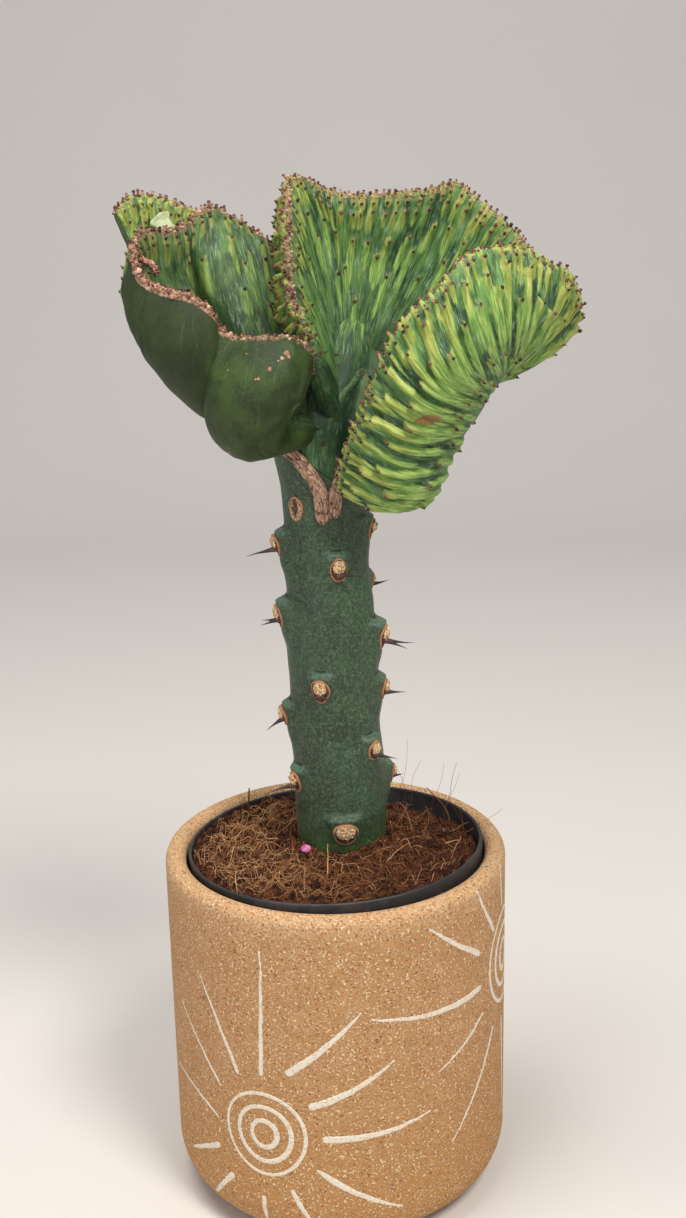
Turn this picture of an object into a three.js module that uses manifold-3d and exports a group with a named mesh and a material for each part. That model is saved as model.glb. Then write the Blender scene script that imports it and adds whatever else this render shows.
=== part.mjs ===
import * as THREE from 'three';
import { mergeVertices } from 'three/addons/utils/BufferGeometryUtils.js';
import Module from 'manifold-3d';

// A crested euphorbia grafted on an upright rootstock, in a nursery pot inside a clay cover pot.
// Millimetres, +Z up. The origin is the centre of the cover pot's foot, and the plant's face is at -Y.

// Driving dimensions of the two pots
const POT_RADIUS = 74.6;
const POT_HEIGHT = 157.5;
const POT_WALL = 9;
const POT_FLOOR = 10;
const POT_FOOT_ROUNDING = 23;
const INNER_CORNER = 8;
const RIM_RADIUS = 64.6;
const RIM_ABOVE_LIP = 0.8;
const RIM_TILT = 2.2;
const RIM_RAISED_SIDE = -30;
const NURSERY_FOOT_RADIUS = 47;
const NURSERY_WALL = 1.5;
const COLLAR = 14;
const DRAIN_RADIUS = 4;
const DRAIN_CIRCLE = 30;
const DRAIN_COUNT = 6;
const SOIL_BELOW_RIM = 2;
const LOW_CAP = 175;
const GAP = 0.3;

// Driving dimensions of the plant
const STEM_FOOT = 112;
const GRAFT_TOP = 343;
const GRAFT_APEX = { x: 4.5, z: 321 };
const GRAFT_LEFT_SLOPE = 33;
const GRAFT_RIGHT_SLOPE = 45;
const RIB_PITCH = 5.8;
const TUBERCLE_LENGTH = 14;
const MARGIN_HALF = 1.9;
const TOOTH = 1.6;
const END_ROUNDING = 9;

const PRILL_PLACE = [-12.5, -17.5];
const PRILL_STEPS = Array.from({ length: 300 }, (_, i) => 150 + 0.1 * i);

const ROUND_SIDES = 40;
const WELD = 1e-3;
const HAIR = 0.03;
const UP = new THREE.Vector3(0, 0, 1);

const wasm = await Module();
wasm.setup();

// Closed meshes and joining

function closed(geometry) {
  const loose = geometry.index ? geometry.toNonIndexed() : geometry.clone();
  loose.deleteAttribute('normal');
  loose.deleteAttribute('uv');
  const merged = mergeVertices(loose, WELD);
  const corners = merged.index.array;
  const kept = [];
  for (let i = 0; i < corners.length; i += 3) {
    const [a, b, c] = [corners[i], corners[i + 1], corners[i + 2]];
    if (a !== b && b !== c && c !== a) {
      kept.push(a, b, c);
    }
  }
  merged.setIndex(kept);
  return merged;
}

function solidOf(geometry) {
  const mesh = closed(geometry);
  return new wasm.Manifold(new wasm.Mesh({
    numProp: 3,
    vertProperties: new Float32Array(mesh.attributes.position.array),
    triVerts: new Uint32Array(mesh.index.array),
  }));
}

function geometryOf(solid) {
  const mesh = solid.getMesh();
  const geometry = new THREE.BufferGeometry();
  geometry.setAttribute('position', new THREE.BufferAttribute(mesh.vertProperties, 3));
  geometry.setIndex(new THREE.BufferAttribute(mesh.triVerts, 1));
  return geometry;
}

function fuse(solids) {
  return wasm.Manifold.union(solids);
}

// The largest outer skin of a solid, welded: hollows that fusing sealed are filled in with it.
function whole(solid) {
  let skin = solid;
  for (let pass = 0; pass < 2; pass += 1) {
    const bodies = solidOf(geometryOf(skin)).decompose();
    skin = bodies.reduce((best, other) => (other.volume() > best.volume() ? other : best));
  }
  return partPinches(skin);
}

// Where folds touch at one point, each skin's own corner is drawn in by a hair.
function partPinches(solid) {
  const geometry = geometryOf(solid);
  geometry.computeVertexNormals();
  const { position, normal } = geometry.attributes;
  const corner = (i) => new THREE.Vector3().fromBufferAttribute(position, i);
  const key = (i) => corner(i).toArray().map((value) => Math.round(value / WELD)).join(' ');
  const shared = new Map();
  for (let i = 0; i < position.count; i += 1) {
    shared.set(key(i), [...(shared.get(key(i)) ?? []), i]);
  }
  for (const group of [...shared.values()].filter((corners) => corners.length > 1)) {
    for (const i of group) {
      const inward = new THREE.Vector3().fromBufferAttribute(normal, i).multiplyScalar(-HAIR);
      position.setXYZ(i, ...corner(i).add(inward).toArray());
    }
  }
  return solidOf(geometry);
}

function piece(name, geometry, colour, roughness, metalness = 0) {
  const material = new THREE.MeshStandardMaterial({ color: colour, roughness, metalness });
  const mesh = new THREE.Mesh(geometry, material);
  mesh.name = name;
  return mesh;
}

// A closed skin over a row of equal loops, with both ends capped to their middle points.
function loft(loops) {
  const sides = loops[0].length;
  const points = loops.flat();
  const corners = [];
  for (let i = 0; i < loops.length - 1; i += 1) {
    for (let k = 0; k < sides; k += 1) {
      const next = (k + 1) % sides;
      const [a, b] = [i * sides + k, i * sides + next];
      corners.push(a, b, b + sides, a, b + sides, a + sides);
    }
  }
  for (const [index, reverse] of [[0, true], [loops.length - 1, false]]) {
    const middle = new THREE.Vector3();
    loops[index].forEach((point) => middle.addScaledVector(point, 1 / sides));
    points.push(middle);
    for (let k = 0; k < sides; k += 1) {
      const [a, b] = [index * sides + k, index * sides + ((k + 1) % sides)];
      corners.push(...(reverse ? [b, a, points.length - 1] : [a, b, points.length - 1]));
    }
  }
  const geometry = new THREE.BufferGeometry().setFromPoints(points);
  geometry.setIndex(corners);
  return geometry;
}

// A turned body about the vertical axis, from a profile of [radius, height] points.
function turned(profile, sides = ROUND_SIDES) {
  const points = profile.map(([radius, height]) => new THREE.Vector2(radius, height));
  return closed(new THREE.LatheGeometry(points, sides)).rotateX(Math.PI / 2);
}

function arc(centreX, centreZ, radius, from, to, steps) {
  return Array.from({ length: steps + 1 }, (_, i) => {
    const angle = THREE.MathUtils.degToRad(from + (to - from) * i / steps);
    return [centreX + radius * Math.cos(angle), centreZ + radius * Math.sin(angle)];
  });
}

// Repeatable random numbers from 0 to 1.
function randomFrom(seed) {
  let state = seed;
  return () => {
    state = (state * 1664525 + 1013904223) % 4294967296;
    return state / 4294967296;
  };
}

// The cover pot: a thick turned clay wall with a wide round foot edge and a round lip.
function coverPot() {
  const inner = POT_RADIUS - POT_WALL;
  const lip = POT_WALL / 2;
  return turned([
    [0, 0],
    ...arc(POT_RADIUS - POT_FOOT_ROUNDING, POT_FOOT_ROUNDING, POT_FOOT_ROUNDING, -90, 0, 7),
    ...arc(POT_RADIUS - lip, POT_HEIGHT - lip, lip, 0, 180, 6),
    ...arc(inner - INNER_CORNER, POT_FLOOR + INNER_CORNER, INNER_CORNER, 0, -90, 2),
    [0, POT_FLOOR],
  ]);
}

// The nursery pot's place: it hangs askew, its rim centred on the cover pot's mouth.
const rimCentre = new THREE.Vector3(0, 0, POT_HEIGHT + RIM_ABOVE_LIP);
const tilt = THREE.MathUtils.degToRad(RIM_TILT);
const raised = THREE.MathUtils.degToRad(RIM_RAISED_SIDE);
const nurseryAxis = new THREE.Vector3(
  -Math.sin(tilt) * Math.cos(raised),
  -Math.sin(tilt) * Math.sin(raised),
  Math.cos(tilt),
);
const lowEdgeDrop = NURSERY_FOOT_RADIUS * Math.sin(tilt);
const nurseryHeight = (rimCentre.z - lowEdgeDrop - POT_FLOOR - GAP) / Math.cos(tilt);
const nurseryPlace = new THREE.Matrix4()
  .makeRotationFromQuaternion(new THREE.Quaternion().setFromUnitVectors(UP, nurseryAxis))
  .setPosition(rimCentre.clone().addScaledVector(nurseryAxis, -nurseryHeight));
const nurseryTopRadius = RIM_RADIUS - 2;
const collarFoot = nurseryHeight - COLLAR;

function nurseryInnerRadius(height) {
  const share = height / nurseryHeight;
  const outer = NURSERY_FOOT_RADIUS + (nurseryTopRadius - NURSERY_FOOT_RADIUS) * share;
  return outer - NURSERY_WALL;
}

// The nursery pot: a thin tapered shell that steps out to a collar, with drain holes in its floor.
function nurseryPot() {
  const collarInside = RIM_RADIUS - NURSERY_WALL;
  const shell = solidOf(turned([
    [0, 0],
    [NURSERY_FOOT_RADIUS - 2, 0],
    [NURSERY_FOOT_RADIUS, 2],
    [nurseryInnerRadius(collarFoot) + NURSERY_WALL, collarFoot],
    [RIM_RADIUS, collarFoot],
    [RIM_RADIUS, nurseryHeight - 0.5],
    [RIM_RADIUS - 0.5, nurseryHeight],
    [RIM_RADIUS - 1, nurseryHeight],
    [collarInside, nurseryHeight - 0.5],
    [collarInside, collarFoot + NURSERY_WALL],
    [nurseryInnerRadius(collarFoot), collarFoot + NURSERY_WALL],
    [nurseryInnerRadius(NURSERY_WALL), NURSERY_WALL],
    [0, NURSERY_WALL],
  ]));
  const drains = Array.from({ length: DRAIN_COUNT }, (_, i) => {
    const angle = 2 * Math.PI * i / DRAIN_COUNT;
    const drain = new THREE.CylinderGeometry(DRAIN_RADIUS, DRAIN_RADIUS, 6, 8).rotateX(Math.PI / 2);
    return solidOf(drain.translate(DRAIN_CIRCLE * Math.cos(angle), DRAIN_CIRCLE * Math.sin(angle), 0));
  });
  return geometryOf(shell.subtract(fuse(drains))).applyMatrix4(nurseryPlace);
}

// A closed skin over level rings, each an ellipse of half widths across and deep.
function ringed(rings, sides = 20) {
  return solidOf(loft(rings.map(({ x, y, z, across, deep }) => Array.from({ length: sides }, (_, k) => {
    const angle = 2 * Math.PI * k / sides;
    return new THREE.Vector3(x + across * Math.cos(angle), y + deep * Math.sin(angle), z);
  }))));
}

// The rootstock's column: an upright stem that leans a little and swells under the graft.
const COLUMN = [
  { z: STEM_FOOT, x: 4, radius: 9 },
  { z: 124, x: 4, radius: 15 },
  { z: 145, x: 3.4, radius: 18 },
  { z: 165, x: 3, radius: 19.2 },
  { z: 197, x: 2.4, radius: 19.6 },
  { z: 216, x: 1.4, radius: 19.2 },
  { z: 240, x: 0.8, radius: 19 },
  { z: 268, x: 1.2, radius: 18.9 },
  { z: 288, x: 0.2, radius: 18.2 },
  { z: 304, x: -0.9, radius: 17.6 },
  { z: 318, x: -1.2, radius: 18.2 },
  { z: 332, x: -1.8, radius: 20 },
  { z: GRAFT_TOP, x: -2.2, radius: 21.5 },
];

function columnAt(z) {
  const above = Math.max(1, COLUMN.findIndex((ring) => ring.z >= z));
  const [low, high] = [COLUMN[above - 1], COLUMN[above]];
  const share = (z - low.z) / (high.z - low.z);
  return { x: low.x + (high.x - low.x) * share, radius: low.radius + (high.radius - low.radius) * share };
}

function column(extra = 0) {
  return ringed(COLUMN.map(({ x, z, radius }, i) => {
    const lift = (i === 0 ? -extra : 0) + (i === COLUMN.length - 1 ? extra : 0);
    return { x, y: 0, z: z + lift, across: radius + extra, deep: radius + extra };
  }));
}

// What lies above the V cut of the graft, as a wide prism; lift moves the cut up.
function aboveGraft(lift) {
  const reach = 60;
  const rise = (slope) => reach * Math.tan(THREE.MathUtils.degToRad(slope));
  const outline = new THREE.Shape([
    new THREE.Vector2(GRAFT_APEX.x, GRAFT_APEX.z + lift),
    new THREE.Vector2(GRAFT_APEX.x + reach, GRAFT_APEX.z + lift + rise(GRAFT_RIGHT_SLOPE)),
    new THREE.Vector2(GRAFT_APEX.x, GRAFT_APEX.z + 150),
    new THREE.Vector2(GRAFT_APEX.x - reach, GRAFT_APEX.z + lift + rise(GRAFT_LEFT_SLOPE)),
  ]);
  const prism = new THREE.ExtrudeGeometry(outline, { depth: 2 * reach, bevelEnabled: false });
  return solidOf(prism.rotateX(Math.PI / 2).translate(0, reach, 0));
}

// A point on the stem's skin at a compass angle: 0 faces the front, 90 the right side.
function onStem(degrees, z, out = 0) {
  const angle = THREE.MathUtils.degToRad(degrees);
  const { x, radius } = columnAt(z);
  const reach = radius + out;
  return new THREE.Vector3(x + reach * Math.sin(angle), -reach * Math.cos(angle), z);
}

// A flat dome lying on the stem's skin, for a tubercle or a corky cap.
function dome({ at, z, width, height, proud }, extra = 0) {
  const angle = THREE.MathUtils.degToRad(at);
  const out = new THREE.Vector3(Math.sin(angle), -Math.cos(angle), 0);
  const across = new THREE.Vector3().crossVectors(UP, out);
  const frame = new THREE.Matrix4().makeBasis(across, UP, out).setPosition(onStem(at, z));
  const shape = new THREE.SphereGeometry(1, 8, 4).rotateX(Math.PI / 2);
  shape.scale(width / 2 + extra, height / 2 + extra, proud + extra);
  return solidOf(shape.applyMatrix4(frame));
}

// A spine: a slim cone whose root is sunk in the stem.
function spine(from, direction, length, thickness = 1.5) {
  const turn = new THREE.Quaternion().setFromUnitVectors(UP, direction.clone().normalize());
  const cone = new THREE.ConeGeometry(thickness / 2, length + 3, 4).rotateX(Math.PI / 2);
  cone.translate(0, 0, (length + 3) / 2 - 3).applyQuaternion(turn);
  return solidOf(cone.translate(...from.toArray()));
}

// The stem's tubercles: compass angle, height, size of the corky cap and its spines' directions.
const TUBERCLES = [
  { at: -44, z: 309, width: 6, height: 10, proud: 1.2, spines: [] },
  { at: -84, z: 291, width: 8, height: 10, proud: 2.6, spines: [[-1, -0.2, -0.25, 6]] },
  { at: 84, z: 298, width: 8, height: 9, proud: 2.4, spines: [] },
  { at: 20, z: 284, width: 9, height: 11, proud: 3.4, spines: [[1, -0.6, -0.05, 9]] },
  { at: 112, z: 274, width: 8, height: 9, proud: 3, spines: [[1, 0.1, 0, 6]] },
  { at: -86, z: 260, width: 8, height: 9, proud: 4, spines: [[-1, -0.3, -0.3, 6], [-0.8, 0.5, -0.4, 6]] },
  { at: 88, z: 251, width: 8, height: 10, proud: 4, spines: [[1, -0.2, 0.1, 10], [0.9, -0.4, -0.4, 7]] },
  { at: -18, z: 232, width: 9.5, height: 12, proud: 3.6, spines: [[-1, -0.8, -0.6, 6], [0.9, -0.8, -0.7, 6]] },
  { at: 88, z: 226, width: 8, height: 9, proud: 2.6, spines: [[1, -0.1, -0.1, 5]] },
  { at: -86, z: 214, width: 8, height: 9, proud: 2.8, spines: [[-1, -0.3, -0.7, 6]] },
  { at: 55, z: 203, width: 8, height: 9, proud: 3.2, spines: [[1, -0.5, -0.1, 7]] },
  { at: -66, z: 189, width: 8.5, height: 10, proud: 4.2, spines: [[-1, -0.4, -0.05, 10], [-0.9, -0.7, -0.2, 6]] },
  { at: 100, z: 186, width: 8, height: 9, proud: 3.2, spines: [] },
  { at: 5, z: 169, width: 10.5, height: 9, proud: 4.6, spines: [] },
  { at: 150, z: 292, width: 8, height: 9, proud: 3, spines: [[0.5, 1, 0, 6]] },
  { at: -150, z: 276, width: 8, height: 9, proud: 3, spines: [[-0.5, 1, 0, 6]] },
  { at: 160, z: 240, width: 9, height: 10, proud: 3.4, spines: [[0.4, 1, -0.2, 7]] },
  { at: -155, z: 220, width: 8, height: 9, proud: 3, spines: [[-0.5, 1, -0.2, 6]] },
  { at: 170, z: 196, width: 9, height: 10, proud: 3.2, spines: [[0.2, 1, -0.2, 6]] },
];

function rootstock() {
  const caps = TUBERCLES.map((tubercle) => dome(tubercle));
  const spines = TUBERCLES.flatMap((t) => t.spines.map(([x, y, z, length]) => (
    spine(onStem(t.at, t.z, t.proud - 1), new THREE.Vector3(x, y, z), length)
  )));
  const cut = column().subtract(aboveGraft(0));
  return cut.add(fuse([...caps, ...spines]).subtract(aboveGraft(0)));
}

// The coir: fibrous soil that fills the nursery pot, heaped at the stem and low at the back right.
function coirSurface(x, y) {
  const fromStem = Math.hypot(x - COLUMN[3].x, y);
  const heap = 6 * Math.exp(-((fromStem / 30) ** 2));
  const toBackRight = Math.max(0, (x * 0.75 + y * 0.66) / RIM_RADIUS);
  const clods = 1.1 * Math.sin(x * 0.23 + 1.3) * Math.cos(y * 0.27) + 0.7 * Math.sin(x * 0.51 - y * 0.43);
  return heap + clods - 8 * toBackRight ** 2;
}

function coir() {
  const level = nurseryHeight - SOIL_BELOW_RIM;
  const sides = 30;
  const random = randomFrom(11);
  const ring = (radius, height) => Array.from({ length: sides }, (_, k) => {
    const angle = 2 * Math.PI * k / sides;
    const [x, y] = [radius * Math.cos(angle), radius * Math.sin(angle)];
    return new THREE.Vector3(x, y, height(x, y));
  });
  const fit = 2 * GAP;
  const floor = NURSERY_WALL + GAP;
  const shoulder = collarFoot - GAP;
  const edge = nurseryInnerRadius(collarFoot) - fit;
  const loops = [
    ring(12, () => floor),
    ring(nurseryInnerRadius(floor) - fit, () => floor),
    ring(edge, () => shoulder),
    ...[edge, 53, 44, 35, 26, 20, 10].map((radius) => ring(radius, (x, y) => (
      level + coirSurface(x, y) + (random() - 0.5) * 1.6
    ))),
  ];
  const lowCaps = TUBERCLES.filter(({ z }) => z < LOW_CAP).map((cap) => dome(cap, 2 * GAP));
  const body = solidOf(loft(loops).applyMatrix4(nurseryPlace));
  return body.subtract(column(GAP)).subtract(fuse(lowCaps));
}

// The crest is one thick folded sheet. Each station goes down from the growing margin:
// the margin, the face below it and the waist, as [x, y, z]; all stations end in the graft's foot.
const CENTRE_FAN = [
  [[-7, -31, 383], [-4, -24, 374], [0, -14, 358]],
  [[-11, -29, 394], [-4, -17, 380], [2, -8, 359]],
  [[-12, -25, 407], [-5, -11, 387], [3, -4, 360]],
  [[-12, -17, 420], [-5, -5, 396], [4, -1, 362]],
  [[-12, -9, 429], [-5, 0, 404], [5, 1, 363]],
  [[-11, -2, 437], [-4, 4, 411], [5, 2, 364]],
  [[-5, 5, 437], [1, 8, 413], [6, 3, 364]],
  [[8, 8, 433], [8, 11, 409], [8, 4, 364]],
  [[28, 10, 433], [22, 14, 406], [12, 5, 364]],
  [[44, 13, 434], [34, 17, 405], [15, 6, 363]],
  [[55, 16, 433], [42, 19, 402], [17, 7, 362]],
  [[65, 14, 425], [49, 18, 397], [20, 8, 360]],
  [[74, 11, 418], [55, 16, 391], [22, 9, 358]],
  [[81, 10, 410], [61, 15, 385], [25, 10, 354]],
  [[88, 11, 399], [68, 15, 377], [28, 11, 349]],
  [[97, 8, 391], [80, 14, 371], [40, 13, 345]],
  [[100, -3, 385], [87, 5, 370], [56, 10, 345]],
  [[95, -14, 397], [89, -10, 380], [66, 2, 356]],
  [[87, -22, 404], [83, -22, 385], [70, -6, 362]],
  [[76, -28, 409], [74, -32, 386], [70, -12, 361]],
  [[63, -34, 410], [66, -38, 384], [66, -16, 359]],
  [[53, -38, 407], [59, -42, 381], [62, -18, 356]],
  [[48, -42, 402], [54, -45, 376], [62, -20, 350]],
  [[40, -45, 395], [47, -47, 371], [59, -20, 346]],
  [[31, -47, 389], [41, -48, 365], [57, -20, 341]],
  [[25, -47, 381], [37, -48, 360], [54, -20, 336]],
  [[21, -46, 373], [33, -47, 355], [51, -19, 331]],
  [[18, -43, 363], [30, -45, 349], [48, -18, 326]],
  [[15, -39, 353], [27, -42, 341], [46, -16, 321]],
  [[11, -35, 344], [25, -38, 334], [43, -14, 316]],
  [[9, -30, 334], [23, -33, 326], [39, -12, 311]],
  [[8, -27, 325], [21, -28, 319], [35, -11, 307]],
];

const LEFT_LOBE = [
  [[-14, -2, 405], [-12, -6, 389], [-7, -8, 365]],
  [[-23, 3, 416], [-18, -4, 392], [-10, -8, 366]],
  [[-32, 5, 422], [-24, -3, 394], [-13, -8, 367]],
  [[-41, 5, 426], [-31, -4, 397], [-16, -9, 368]],
  [[-47, 2, 424], [-36, -6, 399], [-19, -10, 368]],
  [[-52, -4, 420], [-42, -9, 399], [-23, -12, 368]],
  [[-60, -9, 419], [-49, -12, 398], [-27, -13, 367]],
  [[-68, -14, 418], [-57, -14, 396], [-30, -14, 366]],
  [[-70, -21, 414], [-65, -18, 395], [-34, -15, 364]],
  [[-69, -30, 408], [-68, -26, 392], [-38, -16, 363]],
  [[-63, -40, 402], [-66, -38, 387], [-42, -20, 360]],
  [[-55, -47, 399], [-58, -46, 381], [-42, -26, 360]],
  [[-46, -51, 396], [-49, -51, 378], [-39, -30, 359]],
  [[-40, -50, 391], [-41, -50, 375], [-36, -30, 357]],
  [[-36, -45, 383], [-38, -44, 370], [-33, -28, 354]],
  [[-30, -51, 379], [-34, -53, 359], [-32, -34, 343]],
  [[-19, -55, 379], [-24, -60, 358], [-25, -42, 341]],
  [[-9, -52, 377], [-14, -58, 360], [-16, -40, 347]],
  [[-5, -45, 370], [-9, -48, 358], [-11, -34, 347]],
];

const FAR_FLAP = [
  [[-48, 4, 425], [-50, 2, 408], [-43, -4, 381]],
  [[-56, 8, 428], [-56, 6, 410], [-47, -2, 381]],
  [[-64, 11, 431], [-63, 9, 412], [-51, 0, 380]],
  [[-70, 11, 432], [-68, 10, 413], [-55, 0, 379]],
  [[-76, 9, 431], [-72, 8, 412], [-58, -1, 378]],
  [[-81, 5, 426], [-74, 5, 409], [-60, -2, 377]],
];

// The crest's trunk, which all the folds grow from: it carries the stem on and flattens upwards.
const TRUNK = [
  { z: 312, x: -1.1, y: 0, across: 17.8, deep: 17.8 },
  { z: 322, x: -1.4, y: 0, across: 18.8, deep: 18.6 },
  { z: 333, x: -1, y: -0.5, across: 21, deep: 18.6 },
  { z: 342, x: 3, y: -1, across: 27, deep: 15.5 },
  { z: 351, x: 7, y: 1, across: 29, deep: 12 },
  { z: 360, x: 9, y: 3, across: 24, deep: 8.5 },
  { z: 367, x: 10, y: 4, across: 14, deep: 5 },
];

// A sheet's hidden foot lies this share of the way from its waist to the trunk's middle.
const TRUNK_MIDDLE = new THREE.Vector3(4, -2, 338);
const FOOT_SHARE = 0.5;

// Distances below the margin at which a section has its points, and the last stretch to the foot.
const SECTION_DEPTHS = [0, 3, 8, 14, 21, 31, 43];

function smooth(points) {
  return new THREE.CatmullRomCurve3(points, false, 'centripetal');
}

// How far a rib stands out: rows of tubercles, each rising towards the margin, set in quincunx.
function ribRelief(rib, depth, strength) {
  const crest = Math.round(rib * 2) % 2 === 0;
  const row = Math.round(rib) % 2;
  const along = depth / TUBERCLE_LENGTH + 0.5 * row;
  const rising = 1 - (along - Math.floor(along));
  const fade = Math.min(1, depth / 2.6) * Math.max(0, 1 - depth / 60);
  return strength * fade * (crest ? 0.5 + 1.1 * rising : -0.5);
}

// Sections across the sheet at each half rib: the margin's edge, then both faces to the foot.
function sheetSections(stations, { thickness, frontRibs, backRibs }) {
  const withFoot = stations.map((station) => {
    const points = station.map((place) => new THREE.Vector3(...place));
    return [...points, points[2].clone().lerp(TRUNK_MIDDLE, FOOT_SHARE)];
  });
  const rows = [0, 1, 2, 3].map((row) => smooth(withFoot.map((points) => points[row])));
  const length = rows[0].getLength();
  const steps = 2 * Math.round(length / RIB_PITCH);
  const sections = [];
  for (let i = 0; i <= steps; i += 1) {
    const place = rows[0].getUtoTmapping(i / steps);
    const line = smooth(rows.map((row) => row.getPoint(place)));
    const runs = rows.map((row) => row.getTangent(place));
    const drop = line.getLength();
    const fromEnd = Math.min(1, length * Math.min(i, steps - i) / steps / END_ROUNDING);
    const round = Math.max(0.3, Math.sqrt(1 - (1 - fromEnd) ** 2));
    const thick = thickness(i / steps);
    const edge = line.getPoint(0).addScaledVector(line.getTangent(0), i % 2 === 0 ? -TOOTH : -TOOTH * 0.3);
    const section = { edge, front: [], back: [] };
    for (const depth of [...SECTION_DEPTHS, drop]) {
      const share = Math.min(1, depth / drop);
      const level = line.getUtoTmapping(share) * (rows.length - 1);
      const row = Math.min(Math.floor(level), rows.length - 2);
      const run = runs[row].clone().lerp(runs[row + 1], level - row).normalize();
      const side = run.cross(line.getTangentAt(share)).normalize();
      const half = round * (MARGIN_HALF + (thick - MARGIN_HALF) * (1 - Math.exp(-depth / 7)));
      const [out, away] = [frontRibs(i / steps), backRibs(i / steps)]
        .map((strength) => half + ribRelief(i / 2, depth, strength));
      section.front.push(line.getPointAt(share).addScaledVector(side, -out));
      section.back.push(line.getPointAt(share).addScaledVector(side, away));
    }
    sections.push(section);
  }
  return sections;
}

// One closed strip of the sheet between two of its sections.
function stripSolid(sections) {
  const loops = sections.map((s) => [s.edge, ...s.front, ...s.back.slice().reverse()]);
  const sides = loops[0].length;
  const half = sections[0].front.length;
  const corners = [];
  for (let i = 0; i < loops.length - 1; i += 1) {
    for (let k = 0; k < sides; k += 1) {
      const [a, b] = [i * sides + k, i * sides + ((k + 1) % sides)];
      corners.push(a, b, b + sides, a, b + sides, a + sides);
    }
  }
  for (const [start, reverse] of [[0, false], [(loops.length - 1) * sides, true]]) {
    const faces = [[0, 1, sides - 1]];
    for (let k = 1; k < half; k += 1) {
      faces.push([k, k + 1, sides - k], [k + 1, sides - k - 1, sides - k]);
    }
    for (const [a, b, c] of faces) {
      corners.push(...(reverse ? [a, b, c] : [a, c, b]).map((corner) => corner + start));
    }
  }
  const geometry = new THREE.BufferGeometry().setFromPoints(loops.flat());
  geometry.setIndex(corners);
  return solidOf(geometry);
}

function sheet(stations, finish) {
  const sections = sheetSections(stations, finish);
  const strips = [];
  const span = 4;
  for (let i = 0; i < sections.length - 1; i += span) {
    strips.push(stripSolid(sections.slice(i, i + span + 1)));
  }
  return strips;
}

function crest() {
  const fan = sheet(CENTRE_FAN, {
    thickness: () => 6.5,
    frontRibs: (u) => (u < 0.5 ? 0.9 : 0.5),
    backRibs: (u) => (u < 0.5 ? 0.9 : 1.5),
  });
  const lobe = sheet(LEFT_LOBE, {
    thickness: (u) => (u < 0.5 ? 5.5 : 8),
    frontRibs: (u) => (u < 0.45 ? 0.8 : 0),
    backRibs: () => 0.8,
  });
  const flap = sheet(FAR_FLAP, { thickness: () => 5, frontRibs: () => 0.8, backRibs: () => 0.8 });
  const cut = aboveGraft(GAP + 0.05);
  const trunk = ringed(TRUNK).intersect(cut);
  return whole(fuse([...fan, ...lobe, ...flap, trunk]).subtract(column(GAP).subtract(cut)));
}

// The graft's callus: a corky ridge over the seam, with a long left limb and a short right one.
function callus(scion) {
  const limb = (points, width) => {
    const path = smooth(points);
    const outline = new THREE.Shape();
    outline.absellipse(0, 0, width / 2, width / 2, 0, 2 * Math.PI, false, 0);
    const settings = { steps: 8, curveSegments: 7, bevelEnabled: false, extrudePath: path };
    return solidOf(new THREE.ExtrudeGeometry(outline, settings));
  };
  const left = limb([
    onStem(-56, 337), onStem(-34, 332), onStem(-19, 326), onStem(-6, 320), onStem(1, 314), onStem(4, 305),
  ], 6);
  const right = limb([onStem(25, 328), onStem(22, 321), onStem(19, 314), onStem(12, 306)], 5);
  const nudges = [[0, 0, -GAP], [0, -GAP, 0], [GAP, 0, 0], [-GAP, 0, 0]];
  const clear = fuse([scion, ...nudges.map((nudge) => scion.translate(nudge))]);
  return whole(left.add(right).subtract(column(GAP)).subtract(clear));
}

// A pink bead of fertiliser, set down on the soil at the stem's foot.
function prill(soil) {
  const bead = solidOf(new THREE.SphereGeometry(1, 10, 8).scale(2.3, 2.1, 2));
  const height = PRILL_STEPS.find((z) => bead.translate([...PRILL_PLACE, z]).intersect(soil).isEmpty());
  return bead.translate([...PRILL_PLACE, height + GAP]);
}

const soil = coir();
const scion = crest();
const plant = new THREE.Group();
plant.add(piece('cover_pot', coverPot(), 0xb28862, 0.9));
plant.add(piece('nursery_pot', nurseryPot(), 0x323234, 0.55));
plant.add(piece('coir_soil', geometryOf(soil), 0x643c1e, 1));
plant.add(piece('rootstock', geometryOf(rootstock()), 0x2d5037, 0.55));
plant.add(piece('graft_callus', geometryOf(callus(scion)), 0xa5785f, 0.95));
plant.add(piece('crest', geometryOf(scion), 0x5a8c46, 0.6));
plant.add(piece('pink_prill', geometryOf(prill(soil)), 0xc85a96, 0.5));

export default plant;
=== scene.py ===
import math

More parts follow.
